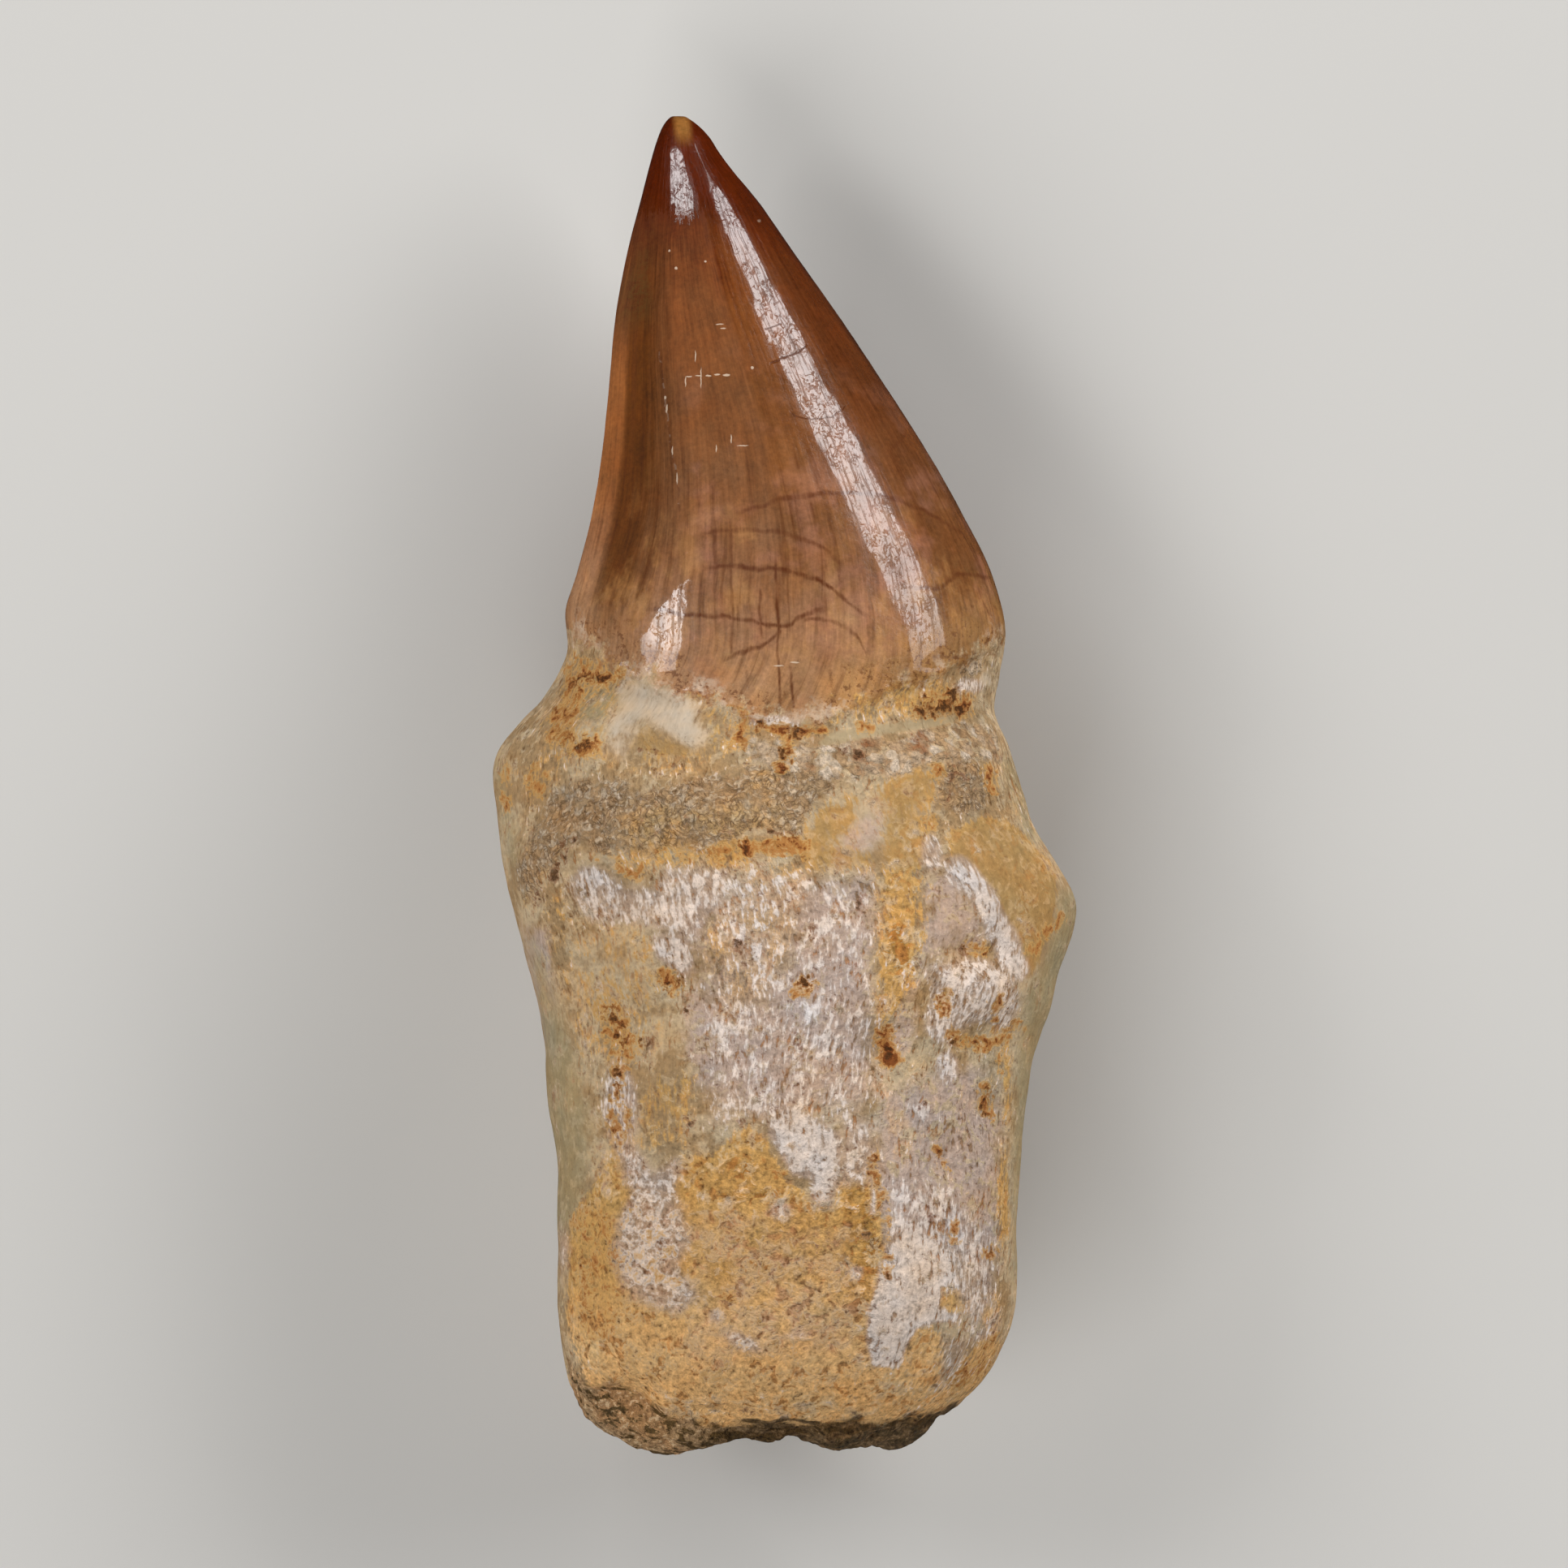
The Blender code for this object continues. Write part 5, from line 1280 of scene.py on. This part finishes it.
def tooth_material(enamel_look, bone_look):
    """One finish for the whole tooth: glossy enamel above its edge, and dry bone below."""
    recipe = Recipe("fossil tooth")
    places = Places(recipe)
    enamel_colour, enamel_roughness, enamel_height, polish = enamel_finish(recipe, places, enamel_look)
    bone_colour, bone_roughness, bone_height = bone_finish(recipe, places, bone_look)
    ragged = (recipe.clouds(places.point, 1.1, 5.0, 0.7) - 0.5) * 7.0
    share = (places.enamel + ragged).fade(-0.6, 0.9)
    colour = recipe.blend(share, bone_colour, enamel_colour)
    roughness = recipe.between(share, bone_roughness, enamel_roughness).clamped()
    height = recipe.between(share, bone_height, enamel_height)
    normal = recipe.add("ShaderNodeBump", None, {"Strength": 1.0, "Distance": MM, "Height": height})
    sockets = {"Base Color": colour, "Roughness": roughness, "Normal": normal,
               "Coat Weight": share * polish, **POLISH}
    return recipe.show(recipe.add("ShaderNodeBsdfPrincipled", None, sockets))


def floor_material(look):
    """Matte paint with a very faint unevenness."""
    recipe = Recipe("studio floor")
    place = recipe.add("ShaderNodeTexCoord", output="Object")
    uneven = recipe.clouds(place, 0.25, 2.0)
    darker = tuple(channel * 0.96 for channel in look.floor)
    colour = recipe.blend(uneven, darker, tuple(look.floor))
    return recipe.show(recipe.add("ShaderNodeBsdfPrincipled", None, {"Base Color": colour, "Roughness": 0.9}))


def build_floor(look):
    shape = bmesh.new()
    bmesh.ops.create_grid(shape, x_segments=2, y_segments=2, size=look.floor_side / 2.0)
    mesh = bpy.data.meshes.new("studio_floor")
    shape.to_mesh(mesh)
    shape.free()
    floor = bpy.data.objects.new("studio_floor", mesh)
    bpy.context.scene.collection.objects.link(floor)
    mesh.materials.append(floor_material(look))
    # The photographed tooth lay on a dark ground, so its gloss doesn't mirror this pale one.
    floor.visible_glossy = False


def build_light(name, heading, height, size, roll, radiance):
    """A rectangular soft light that faces the tooth. Its heading is in degrees from the tip towards the
    right, and its height in degrees above the floor."""
    middle = Vector((0.0, 0.0, SIDE_HEIGHT * MM))
    heading, height = math.radians(heading), math.radians(height)
    level = math.cos(height)
    outward = Vector((math.sin(heading) * level, math.cos(heading) * level, math.sin(height)))
    light = bpy.data.lights.new(name, "AREA")
    light.shape = "RECTANGLE"
    light.size, light.size_y = size
    light.energy = radiance * math.pi * size[0] * size[1]
    holder = bpy.data.objects.new(name, light)
    holder.location = middle + outward * LIGHT_DISTANCE
    facing = (-outward).to_track_quat("-Z", "Y") @ Quaternion((0.0, 0.0, 1.0), math.radians(roll))
    holder.rotation_euler = facing.to_euler()
    holder.visible_camera = False
    bpy.context.scene.collection.objects.link(holder)


def build_camera(look):
    data = bpy.data.cameras.new("camera")
    data.sensor_width = 36.0
    data.lens = data.sensor_width * look.distance / look.view_width
    data.clip_start = 0.01
    data.clip_end = 20.0
    camera = bpy.data.objects.new("camera", data)
    camera.location = PICTURE_MIDDLE + Vector((0.0, 0.0, look.distance))
    bpy.context.scene.collection.objects.link(camera)
    bpy.context.scene.camera = camera


def build_world(look):
    world = bpy.data.worlds.new("studio")
    world.use_nodes = True
    background = world.node_tree.nodes["Background"]
    background.inputs["Color"].default_value = (1.0, 1.0, 1.0, 1.0)
    background.inputs["Strength"].default_value = look.world
    bpy.context.scene.world = world


class FOSSILTOOTH_OT_surface(Operator):
    """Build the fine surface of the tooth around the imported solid"""

    bl_idname = "fossil_tooth.surface"
    bl_label = "Build the Tooth's Surface"

    def execute(self, context):
        build_surface(context.scene.fossil_tooth_relief)
        return {"FINISHED"}


class FOSSILTOOTH_OT_finish(Operator):
    """Give the tooth its enamel and bone"""

    bl_idname = "fossil_tooth.finish"
    bl_label = "Finish Enamel and Bone"

    def execute(self, context):
        tooth = bpy.data.objects.get(PIECE)
        if tooth is None:
            raise RuntimeError("build the tooth's surface first")
        scene = context.scene
        tooth.data.materials.clear()
        tooth.data.materials.append(tooth_material(scene.fossil_tooth_enamel, scene.fossil_tooth_bone))
        return {"FINISHED"}


class FOSSILTOOTH_OT_studio(Operator):
    """Lay the floor, and place the lights and the camera"""

    bl_idname = "fossil_tooth.studio"
    bl_label = "Set Up the Studio"

    def execute(self, context):
        look = context.scene.fossil_tooth_studio
        build_floor(look)
        build_world(look)
        build_camera(look)
        for name, heading, height, size, roll, share in LIGHTS:
            build_light(name, heading, height, size, roll, look.lights * share)
        context.scene.view_settings.view_transform = "Standard"
        return {"FINISHED"}


class FOSSILTOOTH_PT_panel(Panel):
    """Lists the steps of the tooth in the 3D view's sidebar"""

    bl_idname = "FOSSILTOOTH_PT_panel"
    bl_label = "Fossil Tooth"
    bl_space_type = "VIEW_3D"
    bl_region_type = "UI"
    bl_category = "Fossil Tooth"

    def draw(self, context):
        for operator, group in STEPS:
            box = self.layout.box()
            box.operator(operator.bl_idname)
            for name in group:
                settings = getattr(context.scene, name)
                for field in type(settings).__annotations__:
                    box.prop(settings, field)


STEPS = [
    (FOSSILTOOTH_OT_surface, ["fossil_tooth_relief"]),
    (FOSSILTOOTH_OT_finish, ["fossil_tooth_enamel", "fossil_tooth_bone"]),
    (FOSSILTOOTH_OT_studio, ["fossil_tooth_studio"]),
]
GROUPS = {
    "fossil_tooth_relief": FossilToothRelief,
    "fossil_tooth_enamel": FossilToothEnamel,
    "fossil_tooth_bone": FossilToothBone,
    "fossil_tooth_studio": FossilToothStudio,
}


def register():
    for name, group in GROUPS.items():
        bpy.utils.register_class(group)
        setattr(bpy.types.Scene, name, PointerProperty(type=group))
    for operator, _ in STEPS:
        bpy.utils.register_class(operator)
    bpy.utils.register_class(FOSSILTOOTH_PT_panel)


def unregister():
    bpy.utils.unregister_class(FOSSILTOOTH_PT_panel)
    for operator, _ in reversed(STEPS):
        bpy.utils.unregister_class(operator)
    for name, group in reversed(GROUPS.items()):
        delattr(bpy.types.Scene, name)
        bpy.utils.unregister_class(group)


def main():
    register()
    bpy.ops.fossil_tooth.surface()
    bpy.ops.fossil_tooth.finish()
    bpy.ops.fossil_tooth.studio()


if __name__ == "__main__":
    main()
